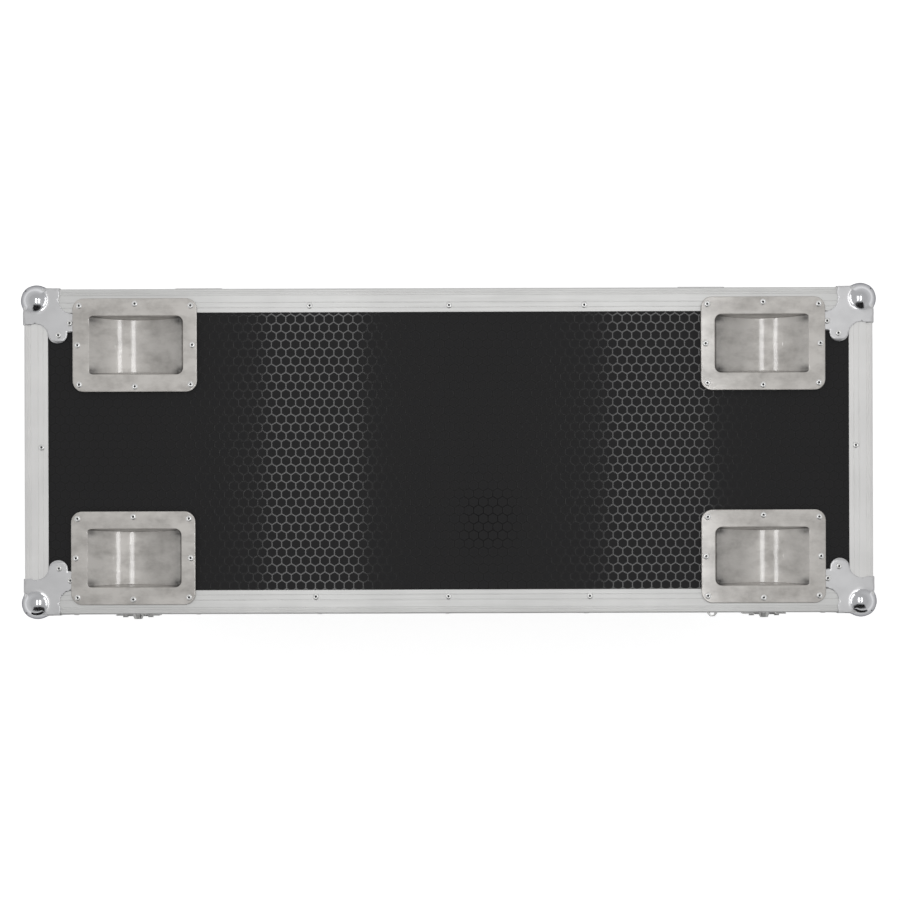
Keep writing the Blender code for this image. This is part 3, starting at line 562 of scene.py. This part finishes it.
def add_edge_angles(part, level, inward, free_end, body):
    """The four angles round one face of the case, and the four that run from its corners."""
    node = f"{part}_edge_frame"
    for name, sy in (("front", -1), ("rear", 1)):
        add_angle(f"{part}_edge_angle_{name}", (-HALF_L, sy * HALF_D, level), X, -sy * Y, inward,
                  2 * HALF_L, True, ALUMINIUM[0], body, node)
    for name, sx in SIDES:
        add_angle(f"{part}_edge_angle_{name}", (sx * HALF_L, -HALF_D, level), Y, -sx * X, inward,
                  2 * HALF_D, True, ALUMINIUM[1], body, node)
    for name, sx, sy in CORNERS:
        add_angle(f"{part}_upright_angle_{name}", (sx * HALF_L, sy * HALF_D, level), inward,
                  -sx * X, -sy * Y, abs(free_end - level), False, ALUMINIUM[2], body, node)


def add_rim(name, outline, body, notch_low, notch_high):
    """A ribbed rim section of (depth, height above the parting), mitred round the case."""
    loops = []
    for depth, height in outline:
        hx, hy = HALF_L - depth, HALF_D - depth
        corners = ((-hx, -hy), (hx, -hy), (hx, hy), (-hx, hy))
        loops.append([(x, y, PARTING + height) for x, y in corners])
    bm, _ = loft(loops, closed=True)
    rim = add_piece(f"{name}_extrusion", mesh_from(bm), ALUMINIUM[0], body, (name,),
                    20)
    for side, _ in SIDES:
        low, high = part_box(f"latch_dish_{side}")
        margin = (high.x - low.x) / 2 - NOTCH_HALF
        cut_with(rim, (low.x + margin, -HALF_D - NOTCH_OUT, notch_low),
                 (high.x - margin, -HALF_D + NOTCH_IN, notch_high))


def rim_face(levels, sign):
    """Outer face of a rim's skirt, with grooves at the given distances from the parting."""
    skirt = RIM_SKIRT
    points = [(0.0010, sign * skirt), (0.0004, sign * (skirt - 0.0002)),
              (0.0, sign * (skirt - 0.0008))]
    for level in sorted(levels, reverse=True):
        for offset, depth in ((GROOVE_HALF, 0.0), (GROOVE_FLOOR, GROOVE_DEEP),
                              (-GROOVE_FLOOR, GROOVE_DEEP), (-GROOVE_HALF, 0.0)):
            points.append((depth, sign * (level + offset)))
    return points + [(0.0, sign * 0.0010), (0.0003, sign * 0.0004), (0.0008, sign * RIM_FACE)]


def add_rims():
    sheet, inner, wall, skirt = RIM_SHEET, RIM_INNER, RIM_WALL, RIM_SKIRT
    levels = (0.0042, 0.0066, 0.0205)
    base = rim_face(levels, -1)
    base += [(sheet, -0.0008), (sheet, -0.0045), (inner, -0.0045), (inner, -RIM_FACE),
             (wall, -RIM_FACE), (wall, -0.014), (inner, -0.014), (inner, -0.0060),
             (sheet, -0.0060), (sheet, -skirt)]
    add_rim("base_rim", base, "base", PARTING - 0.030, PARTING + 0.002)
    lid = rim_face(levels, 1)
    lid += [(0.005, RIM_FACE), (0.0052, -0.0033), (0.0056, -0.0035), (0.0084, -0.0035),
            (0.0088, -0.0033), (0.009, RIM_FACE), (wall, RIM_FACE), (wall, 0.014),
            (inner, 0.014), (inner, 0.00165), (sheet, 0.00165), (sheet, skirt)]
    add_rim("lid_rim", lid, "lid", PARTING - 0.006, PARTING + 0.030)


# ---- ball corners

def corner_outline():
    """The edge of one leg of a ball corner: tab, scallop and two round lobes."""
    scallop, lobe, tab = (0.0690, 0.0168, 0.0183), (0.0651, 0.0492, 0.0143), (0.0526, 0.0089)
    start = 360 + math.degrees(math.atan2(tab[1] - scallop[1], tab[0] - scallop[0]))
    toward = math.degrees(math.atan2(lobe[1] - scallop[1], lobe[0] - scallop[0]))
    half = arc(scallop[:2], scallop[2], start, toward, 9)
    half += arc(lobe[:2], lobe[2], toward - 180, 99.3, 12)[1:]
    steps = 46
    run = [(-PLATE_OUT + (tab[0] + PLATE_OUT) * i / steps, -PLATE_OUT) for i in range(steps + 1)]
    side = run + half
    return side + [(q, p) for p, q in reversed(side[1:-1])]


def soft_least(first, second, width):
    """The lesser of two values, eased where they are within a width of each other."""
    share = max(width - abs(first - second), 0.0) / width
    return min(first, second) - share * share * width / 4


def swollen(point):
    """A point of the three flat legs, pushed out onto the ball where the ball covers it."""
    centre = Vector((BALL_INSET,) * 3)
    ray = Vector(point) - centre
    ray.normalize()
    reach = BALL_INSET + PLATE_OUT
    far = sorted(reach / max(-part, 1e-6) for part in ray)
    flat = soft_least(far[0], far[1], FOLD_BLEND)
    # Towards the case's corner there are no legs, only the ball, and a fold starts late.
    start = LEG_START + FOLD_DELAY * max(2 - far[1] / far[0], 0.0)
    leg = min(max((max(ray) * flat - start) / LEG_GROWTH, 0.0), 1.0)
    leg *= leg * (3 - 2 * leg)
    flat = leg * flat + (1 - leg) * min(flat, 0.9 * BALL_RADIUS)
    return centre + ray * -soft_least(-flat, -BALL_RADIUS, BALL_BLEND)


def leg_faces(outline):
    """Points and triangles that fill one leg's outline, fine enough for the ball."""
    keep = []
    grids = ((CORNER_STEP, 0.0, FINE_REACH), (COARSE_STEP, FINE_REACH, LEG_REACH))
    for step, nearest, farthest in grids:
        count = int(farthest / step)
        for i, j in ((i, j) for i in range(1, count) for j in range(1, count)):
            point = (step * i - PLATE_OUT, step * j - PLATE_OUT)
            gap = min(math.dist(point, other) for other in outline)
            if max(point) > nearest and gap > 0.6 * CORNER_STEP:
                keep.append(point)
    points = [Vector(point) for point in outline + keep]
    ring = [(i, (i + 1) % len(outline)) for i in range(len(outline))]
    found = delaunay_2d_cdt(points, ring, [], 1, 1e-7)
    return found[0], found[2]


def ball_corner():
    """A pressed corner, drawn with each axis measured inwards from the case's corner."""
    points, triangles = leg_faces(corner_outline())
    bm = bmesh.new()
    for axis in range(3):
        verts = []
        for p, q in points:
            place = [p, q]
            place.insert(axis, -PLATE_OUT)
            verts.append(bm.verts.new(swollen(place)))
        for triangle in triangles:
            bm.faces.new([verts[i] for i in triangle])
    bmesh.ops.remove_doubles(bm, verts=bm.verts, dist=0.00002)
    mesh = mesh_from(bm)
    inside = Vector((0.02,) * 3)
    outward = sum((face.normal.dot(face.center - inside) > 0) for face in mesh.polygons)
    if outward < len(mesh.polygons) / 2:
        mesh.flip_normals()
    for look in (CORNER_STEEL, BALL_CHROME):
        mesh.materials.append(look)
    ball = Vector((BALL_INSET,) * 3)
    for face in mesh.polygons:
        face.material_index = int((face.center - ball).length < BALL_RADIUS + CHROME_RIM)
    return mesh


def sheet_of(thickness):
    """A dress that gives a surface its thickness on its inner side."""
    def dress(piece):
        solid = piece.modifiers.new("sheet", "SOLIDIFY")
        solid.thickness = thickness
        solid.offset = -1.0
        solid.use_even_offset = False
    return dress


def add_ball_corners():
    master = ball_corner()
    for name, sx, sy in CORNERS:
        for part, level, up, body in (("base", BASE_BOTTOM, 1, "base"), ("lid", LID_TOP, -1, "lid")):
            node = f"{part}_ball_corner_{name}"
            place = (sx * HALF_L, sy * HALF_D, level)
            signs = (-sx, -sy, up)
            mesh = mirrored(master, signs, place)
            add_piece(f"{node}_pressing", mesh, None, body, (node,), 60,
                      sheet_of(PLATE_SHEET))
            spots = []
            for p, q in CORNER_RIVETS:
                for axis in range(3):
                    local = [p, q]
                    local.insert(axis, -PLATE_OUT)
                    normal = [0.0, 0.0, 0.0]
                    normal[axis] = -signs[axis]
                    point = [sign * value + base for sign, value, base in zip(signs, local, place)]
                    spots.append((point, normal))
            rivets(f"{part}_corner_rivets_{name}", spots, body)


# ---- castor dishes

def dish_loop(hx, hy, radius):
    """Points round a rounded rectangle, the lower half mirrored from the upper one."""
    end, side, bend = 7, 22, 8          # steps along half an end, a side and a corner
    upper = [(hx, (hy - radius) * i / end) for i in range(end)]
    upper += arc((hx - radius, hy - radius), radius, 0, 90, bend)[:-1]
    upper += [((hx - radius) * (1 - 2 * i / side), hy) for i in range(side)]
    upper += arc((radius - hx, hy - radius), radius, 90, 180, bend)[:-1]
    upper += [(-hx, (hy - radius) * (1 - i / end)) for i in range(end + 1)]
    return upper + [(x, -y) for x, y in reversed(upper[1:-1])]


def castor_dish():
    """A left-hand pressed dish about its own centre, its flange's face at height 0."""
    trough, lowest = 0.112, 0.005       # the trough's radius, and how far inwards its bottom lies
    slope, lip = 8.0, 0.0011            # the wall's steepness, and the half width of its round lip

    def depth(inset, x):
        if inset < -lip:
            return 0.0
        ramp = (inset + lip) ** 2 / (4 * lip) if inset < lip else inset
        floor = DISH_DEEP - (trough - math.sqrt(trough ** 2 - (x - lowest) ** 2))
        return max(0.0, soft_least(slope * ramp, floor, 0.0045))

    loops = []
    for inset, height in ((0.0, -0.0006), (0.0002, -0.0002), (0.0006, 0.0), (0.0015, 0.0)):
        outer = dish_loop(*[size - inset for size in DISH_FLANGE])
        loops.append([(x, y, height) for x, y in outer])
    near = dish_loop(*[size + 0.003 for size in DISH_MOUTH])
    for share in (0.35, 0.7):
        loops.append([(a + (c - a) * share, b + (d - b) * share, 0.0)
                      for (a, b), (c, d) in zip(outer, near)])
    insets = [-2.4, -1.6] + [0.3 * i for i in range(-4, 14)]        # millimetres
    insets += [4.3, 4.8, 5.4, 6.2, 7.5, 9.5, 12, 15, 19, 24, 30, 36, 40]
    half_x, half_y, corner = DISH_MOUTH
    for inset in (value / 1000 for value in insets):
        loop = dish_loop(half_x - inset, half_y - inset, max(corner - inset, 0.0012))
        loops.append([(x, y, -depth(inset, x)) for x, y in loop])
    bm, rows = loft(loops)
    last, count = rows[-1], len(rows[-1])
    for i in range(count // 2):
        corners = [last[i], last[i + 1], last[(count - i - 1) % count], last[(count - i) % count]]
        distinct = list(dict.fromkeys(corners))
        if len(distinct) > 2:
            bm.faces.new(distinct)
    mesh = mesh_from(bm)
    if sum(face.normal.z for face in mesh.polygons) < 0:
        mesh.flip_normals()
    # Painted shade, kept per point for the material: darker in the inner corners, just inside the
    # mouth and at the inner end.
    painted_shade = mesh.attributes.new("painted_shade", "FLOAT", "POINT")
    for vertex, value in zip(mesh.vertices, painted_shade.data):
        value.value = painted_dish_shade(vertex.co)
    return mesh


def bell(value, middle, spread):
    return math.exp(-((value - middle) / spread) ** 2)


def painted_dish_shade(point):
    """How much painted shade a spot of the dish takes: in its inner corners, along the line just
    inside its mouth and at its inner end.
    """
    if point.z > -0.0004:               # on the flange
        return 0.0
    along, across = DISH_MOUTH[0] - abs(point.x), DISH_MOUTH[1] - abs(point.y)
    corner = bell(along, 0.006, 0.0085) * bell(across, 0.005, 0.0050)
    crease_shade = bell(min(along, across), 0.0012, 0.0011)
    end = bell(point.x, DISH_MOUTH[0], 0.0125)
    return min(0.80 * corner + 0.45 * crease_shade + 0.36 * end, 1.0)


def add_castor_dishes():
    master = castor_dish()
    for name, sx, _ in CORNERS:
        node = f"castor_dish_{name}"
        low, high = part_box(node)
        centre = ((low.x + high.x) / 2 + DISH_SHIFT[name], (low.y + high.y) / 2, high.z)
        mesh = mirrored(master, (-sx, 1, 1), centre)
        add_piece(f"{node}_pressing", mesh, STAINLESS, "lid", (node,), 60,
                  sheet_of(DISH_SHEET))
        (corner_x, corner_y), side_y, side_x = DISH_RIVETS
        spots = [(px * corner_x, py * corner_y) for px in (-1, 1) for py in (-1, 1)]
        spots += [(0.0, side_y), (0.0, -side_y), (side_x, 0.0), (-side_x, 0.0)]
        spots = [(Vector(centre) + Vector((x, y, 0)), Z) for x, y in spots]
        rivets(f"dish_rivets_{name}", spots, "lid")


# ---- rivets along the edges

def add_edge_rivets():
    inset = EDGE_RIVET_INSET
    rear_top, front_top = (-0.202, 0.001, 0.198), (-0.194, -0.001, 0.205)
    rear_y, front_y = HALF_D - inset, inset - HALF_D
    lid = [((x, rear_y, LID_TOP), Z) for x in rear_top]
    lid += [((x, front_y, LID_TOP), Z) for x in front_top]
    lid += [((sx * (HALF_L - inset), 0.0066, LID_TOP), Z) for sx in (-1, 1)]
    drop = LID_TOP - inset
    lid += [((x, -HALF_D, drop), -Y) for x in (-0.368, -0.190, -0.003, 0.201)]
    lid += [((x, HALF_D, drop), Y) for x in (-0.2, 0.0, 0.2)]
    lid += [((sx * HALF_L, 0.0, drop), sx * X) for sx in (-1, 1)]
    rivets("lid_edge_rivets", lid, "lid")
    base, rise = [], BASE_BOTTOM + inset
    for x in (-0.40, -0.20, 0.0, 0.20, 0.40):
        for sy in (-1, 1):
            base.append(((x, sy * HALF_D, rise), sy * Y))
            base.append(((x, sy * (HALF_D - inset), BASE_BOTTOM), -Z))
    for sx in (-1, 1):
        base.append(((sx * HALF_L, 0.0, rise), sx * X))
        base.append(((sx * (HALF_L - inset), 0.0, BASE_BOTTOM), -Z))
        for sy in (-1, 1):
            for z in (0.235, 0.330):
                base.append(((sx * (HALF_L - inset), sy * HALF_D, z), sy * Y))
                base.append(((sx * HALF_L, sy * (HALF_D - inset), z), sx * X))
    rivets("base_edge_rivets", base, "base")
    for part, sign in (("base", -1), ("lid", 1)):
        z = PARTING + sign * 0.0135
        spots = [((x, -HALF_D, z), -Y) for x in (-0.30, -0.15, 0.0, 0.15, 0.30)]
        spots += [((x, HALF_D, z), Y) for x in (-0.50, -0.26, -0.09, 0.09, 0.26, 0.50)]
        spots += [((sx * HALF_L, y, z), sx * X) for sx in (-1, 1) for y in (-0.11, 0.0, 0.11)]
        rivets(f"{part}_rim_rivets", spots, part)


def add_braces():
    """Bent plates that tie the rims together at the case's upright corners."""
    out, bend = BRACE_OUT, BRACE_BEND
    back = BRACE_SHEET - out
    section = [(BRACE_ARM, -out)] + arc((bend - out, bend - out), bend, 270, 180, 6)
    section += [(-out, BRACE_ARM), (back, BRACE_ARM), (back, bend), (bend, back), (BRACE_ARM, back)]
    for name, sx, sy in CORNERS:
        outline = [(sx * (HALF_L - p), sy * (HALF_D - q)) for p, q in section]
        for part, sign in (("base", -1), ("lid", 1)):
            start = PARTING + sign * BRACE_GAP
            mesh = slab(outline, start, start + sign * BRACE_TALL)
            add_piece(f"{part}_corner_brace_{name}", mesh, FITTING_STEEL, part, (),
                      30, bevelled(0.0003, 2))
            z = start + sign * BRACE_TALL / 2
            spots = [((sx * (HALF_L - p), sy * (HALF_D + out), z), sy * Y) for p in BRACE_RIVETS]
            spots += [((sx * (HALF_L + out), sy * (HALF_D - p), z), sx * X) for p in BRACE_RIVETS]
            rivets(f"{part}_brace_rivets_{name}", spots, part)


# ---- latches, staples, hinges, handles

def add_latches():
    for name, _ in SIDES:
        dish, keeper = f"latch_dish_{name}", f"latch_keeper_{name}"
        for node, body, width in (
            (dish, "base", 0.0004), (keeper, "lid", 0.0004),
            (f"latch_drive_{name}", f"drive_{name}", 0.0005),
            (f"latch_wing_{name}", f"wing_{name}", 0.0006),
            (f"latch_claw_{name}", f"claw_{name}", 0.0005),
        ):
            softened(node, FITTING_STEEL, body, width)
        low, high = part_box(dish)
        middle, face = (low.x + high.x) / 2, low.y
        ends = [middle + sx * LATCH_RIVET_X for sx in (-1, 1)]
        levels = (low.z + LATCH_RIVET_LOW, high.z - LATCH_RIVET_HIGH)
        rivets(f"latch_dish_rivets_{name}", [((x, face, z), -Y) for x in ends for z in levels], "base")
        low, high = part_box(keeper)
        level = (low.z + high.z) / 2
        rivets(f"latch_keeper_rivets_{name}", [((x, face, level), -Y) for x in ends], "lid")
    for part in ("base", "lid"):
        softened(f"padlock_staple_{part}", FITTING_STEEL, part, 0.0004)


def add_hinges():
    for name, _ in SIDES:
        for part in ("base", "lid"):
            node = f"hinge_{part}_leaf_{name}"
            softened(node, FITTING_STEEL, part, 0.0005)
            low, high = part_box(node)
            middle = (low.x + high.x) / 2
            face = HALF_D + HINGE_OUT
            free_end, sign = (low.z, 1) if part == "base" else (high.z, -1)
            levels = [free_end + sign * row for row in HINGE_RIVET_ROWS]
            spots = [((middle + sx * HINGE_RIVET_X, face, z), Y) for sx in (-1, 1) for z in levels]
            rivets(f"hinge_{part}_rivets_{name}", spots, part)


def add_handles():
    for name, sx in SIDES:
        node = f"handle_dish_{name}"
        softened(node, FITTING_STEEL, "base", 0.0009, 3)
        low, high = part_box(node)
        face = high.x if sx > 0 else low.x
        middle = (low.z + high.z) / 2
        places = [(sy, sz) for sy in (-1, 0, 1) for sz in (-1, 1)] + [(-1, 0), (1, 0)]
        spots = [((face, sy * HANDLE_RIVET_Y, middle + sz * HANDLE_RIVET_Z), sx * X)
                 for sy, sz in places]
        rivets(f"handle_rivets_{name}", spots, "base")
        add_bail(name)


def swept(points, radius):
    """A round bar along a path, closed at both ends."""
    curve = bpy.data.curves.new("bar", "CURVE")
    curve.dimensions = "3D"
    curve.bevel_depth = radius
    curve.bevel_resolution = 4
    curve.use_fill_caps = True
    spline = curve.splines.new("POLY")
    spline.points.add(len(points) - 1)
    for target, point in zip(spline.points, points):
        target.co = (*point, 1.0)
    holder = linked("bar", curve)
    graph = bpy.context.evaluated_depsgraph_get()
    bm = bmesh.new()
    bm.from_mesh(bpy.data.meshes.new_from_object(holder.evaluated_get(graph)))
    bmesh.ops.remove_doubles(bm, verts=bm.verts, dist=1e-6)
    bpy.data.objects.remove(holder)
    return mesh_from(bm)


def add_bail(name):
    """The handle's bent bar and its ribbed rubber grip."""
    node, body = f"handle_bail_{name}", f"bail_{name}"
    low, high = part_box(node)
    x = (low.x + high.x) / 2
    pivot_z, grip_z = high.z - 0.004, low.z + 0.0075
    bar, bend = 0.0039, 0.007               # radii
    end, leg = high.y, 0.057                # half widths
    path = [(-end, pivot_z), (-leg - bend, pivot_z)]
    path += arc((-leg - bend, pivot_z - bend), bend, 90, 0, 6)[1:]
    path += arc((-leg + bend, grip_z + bend), bend, 180, 270, 6)
    path += [(-y, z) for y, z in reversed(path)]
    mesh = swept([(x, y, z) for y, z in path], bar)
    add_piece(f"{node}_bar", mesh, FITTING_STEEL, body, (node,), 40)
    half, plain, ribs = 0.046, 0.003, 13                    # half length, smooth end, count
    tip, low_skin, high_skin = 0.0055, 0.0068, 0.0074       # radii
    step = (2 * half - 2 * plain) / ribs
    profile = [(0.0, -half), (tip, -half), (low_skin, -half + 0.0010)]
    for i in range(ribs):
        start = -half + plain + i * step
        profile += [(low_skin, start), (high_skin, start + 0.0006),
                    (high_skin, start + step - 0.0018), (low_skin, start + step - 0.0012)]
    profile += [(low_skin, half - 0.0010), (tip, half), (0.0, half)]
    grip = turned(profile, 28)
    grip.transform(facing(Y, (x, 0.0, grip_z)))
    add_piece(f"handle_grip_{name}", grip, GRIP_RUBBER, body, (node,), 40)


# ---- castors

def tyre_and_hub():
    """Profiles of (radius, height) for the elastic tyre and the moulded core."""
    tyre = [(0.0365, 0.0172), (0.0385, 0.0180), (0.0430, 0.0178), (0.0462, 0.0165), (0.0486, 0.0140),
            (0.0496, 0.0110), (0.0500, 0.0070), (0.0500, 0.0)]
    tyre += [(radius, -height) for radius, height in reversed(tyre[:-1])]
    hub = [(0.0064, 0.0190), (0.0140, 0.0193), (0.0155, 0.0185), (0.0165, 0.0130), (0.0180, 0.0115),
           (0.0320, 0.0115), (0.0345, 0.0130), (0.0355, 0.0165), (0.0363, 0.0170)]
    hub += [(radius, -height) for radius, height in reversed(hub)]
    return turned(tyre, 72, closed=True), turned(hub, 48, closed=True)


def hex_bolt(across, height):
    """A hexagon head on a washer, standing on +Z."""
    corner, edge, sheet = across / math.sqrt(3), across * 0.82, 0.0010
    bm = bmesh.new()
    bm.from_mesh(turned(((0.0, 0.0), (edge, 0.0), (edge, sheet), (0.0, sheet)), 28))
    angles = [math.pi / 3 * i for i in range(6)]
    bm.from_mesh(slab([(corner * math.cos(a), corner * math.sin(a)) for a in angles],
                      sheet + 0.0001, height))
    result = bpy.data.meshes.new("bolt")
    bm.to_mesh(result)
    bm.free()
    return result


def add_castors():
    tyre, hub = tyre_and_hub()
    bolt, nut = hex_bolt(0.010, 0.0060), hex_bolt(0.015, 0.0065)
    for name, _, sy in CORNERS:
        wheel, fork, plate = f"castor_wheel_{name}", f"castor_fork_{name}", f"castor_plate_{name}"
        low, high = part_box(wheel)
        place = facing(Y, (low + high) / 2)
        for part, mesh, look in (("tyre", tyre, BLUE_RUBBER), ("core", hub, HUB_PLASTIC)):
            add_piece(f"{wheel}_{part}", gathered(mesh, [place]), look, f"wheel_{name}", (wheel,),
                      40)
        softened(fork, ZINC, f"fork_{name}", 0.0007, 3,
                 sharp_level=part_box(fork)[1].z - CASTOR_SHEET)
        softened(plate, ZINC, "base", 0.0007, 3)
        axle_x, axle_z = (low.x + high.x) / 2, low.z + WHEEL_RADIUS
        low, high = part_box(plate)
        centre, under = (low + high) / 2, high.z - CASTOR_SHEET
        spots = [facing(-Z, (centre.x + px * BOLT_X, centre.y + py * BOLT_Y, under))
                 for px in (-1, 1) for py in (-1, 1)]
        add_piece(f"castor_bolts_{name}", gathered(bolt, spots), ZINC, "base", (),
                  30, bevelled(0.0003, 2))
        ends = [facing(side * Y, (axle_x, sy * CASTOR_Y + side * NUT_OUT, axle_z))
                for side in (-1, 1)]
        add_piece(f"axle_nuts_{name}", gathered(nut, ends), ZINC, f"fork_{name}", (),
                  30, bevelled(0.0004, 2))


# ---- boards and foam

def dress_boards():
    """The flat boards stay as the model has them, and take the patterned film."""
    faces = {"base_floor_panel": "top", "lid_top_panel": "top"}
    for part in ("base", "lid"):
        faces.update({f"{part}_front_panel": "long", f"{part}_rear_panel": "long"})
        faces.update({f"{part}_left_panel": "end", f"{part}_right_panel": "end"})
    for node, face in faces.items():
        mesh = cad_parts[node].data
        mesh.materials.clear()
        mesh.materials.append(BOARDS[face])


def add_foam():
    for node, body in (("base_foam_lining", "base"), ("lid_foam_lining", "lid")):
        piece = softened(node, FOAM, body, 0.0025, 4, "pad")


# ---- stage, lights and camera

CAMERA_HEIGHT = 3.2                     # above the lid
CAMERA_OFFSET = (0.057, -0.101)         # from the middle of the case
LENS = 87.9
SHIFT = (-0.0423, 0.0777)               # of the sensor, which stays parallel with the lid
ROLL = 0.18                             # degrees


def glowing(name, strength, base):
    """A matt grey, as bright as base, that may give off white light."""
    look = Look(name, (base,) * 3, 0.9)
    look.shader.inputs["Emission Color"].default_value = (1.0, 1.0, 1.0, 1.0)
    look.shader.inputs["Emission Strength"].default_value = strength
    look.shader.inputs["Specular IOR Level"].default_value = 0.0
    return look.material


def add_card(name, centre, size, look, normal):
    """A flat panel of the studio, which the camera doesn't see."""
    corner, sheet = 0.01, 0.002
    mesh = slab(rounded_box(size[0] / 2, size[1] / 2, corner), 0.0, sheet)
    mesh.transform(facing(normal, centre))
    mesh.materials.append(look)
    card = linked(name, mesh)
    card.visible_camera = False
    return card


def add_strip(name, place, size, radiance):
    """A lamp that shines straight down and that the camera doesn't see."""
    light = bpy.data.lights.new(name, "AREA")
    light.shape = "RECTANGLE"
    light.size, light.size_y = size
    light.energy = radiance * math.pi * size[0] * size[1]
    lamp = linked(name, light)
    lamp.location = place
    lamp.visible_camera = False


def add_world():
    """A soft white studio: dimmer overhead than towards the horizon."""
    world = bpy.data.worlds.new("studio")
    world.use_nodes = True
    tree = world.node_tree
    background = tree.nodes["Background"]
    place, parts, level, ramp = [tree.nodes.new("ShaderNode" + kind) for kind in
                                 ("TexCoord", "SeparateXYZ", "MapRange", "ValToRGB")]
    tree.links.new(place.outputs["Generated"], parts.inputs[0])
    tree.links.new(parts.outputs["Z"], level.inputs["Value"])
    level.inputs["From Min"].default_value = -1.0
    tree.links.new(level.outputs[0], ramp.inputs[0])
    stops = ((-0.30, 0.52), (0.10, 0.80), (0.75, 0.428))     # height, brightness
    ramp.color_ramp.elements.new(0.5)                       # a third one, between its ends
    for element, (height, brightness) in zip(ramp.color_ramp.elements, stops):
        element.position = (height + 1) / 2
        element.color = (brightness,) * 3 + (1.0,)
    tree.links.new(ramp.outputs[0], background.inputs["Strength"])
    background.inputs["Color"].default_value = (1.0, 1.0, 1.0, 1.0)
    bpy.context.scene.world = world


def add_stage():
    """The white floor, the black cards that the metal reflects, and two strips of light."""
    half, corner, deep = 9.0, 2.0, 0.02
    floor = linked("floor", slab(rounded_box(half, half, corner), -deep, 0.0))
    floor.data.materials.append(glowing("floor_white", 0.72, 0.75))
    floor.visible_glossy = False
    black = glowing("studio_black", 0.0, 0.01)
    x, y = CAMERA_OFFSET
    behind_camera = LID_TOP + CAMERA_HEIGHT + 0.03
    add_card("camera_shade", (x, y, behind_camera), (0.15, 0.16), black, Z)
    add_card("front_shade", (0.0, -2.6, 0.95), (4.4, 1.2), black, Y)
    crew = add_card("crew_shade", (0.0, -1.7, 2.9), (3.2, 2.2), black, Y)
    crew.visible_diffuse = crew.visible_shadow = False
    hang, long = LID_TOP + 2.4, 1.3
    add_strip("strip_left", (x - 0.444, y + 0.25, hang), (0.245, long), 5.0)
    add_strip("strip_right", (x + 0.436, y + 0.25, hang), (0.255, long), 4.7)


def add_camera():
    """A camera straight above the case; its axes stay square with the lid but for a slight roll."""
    scene = bpy.context.scene
    scene.view_settings.view_transform = "Standard"
    camera = linked("camera", bpy.data.cameras.new("camera"))
    scene.camera = camera
    camera.data.lens = LENS
    camera.data.clip_end = 50
    camera.data.shift_x, camera.data.shift_y = SHIFT
    camera.location = (CAMERA_OFFSET[0], CAMERA_OFFSET[1], LID_TOP + CAMERA_HEIGHT)
    camera.rotation_euler = (0.0, 0.0, -math.radians(ROLL))


# ---- the whole picture

dress_boards()
add_edge_angles("lid", LID_TOP, -Z, LID_EDGE_BASE, "lid")
add_edge_angles("base", BASE_BOTTOM, Z, BASE_EDGE_TOP, "base")
add_rims()
add_ball_corners()
add_castor_dishes()
add_edge_rivets()
add_braces()
add_latches()
add_hinges()
add_handles()
add_castors()
add_foam()
add_world()
add_stage()
add_camera()
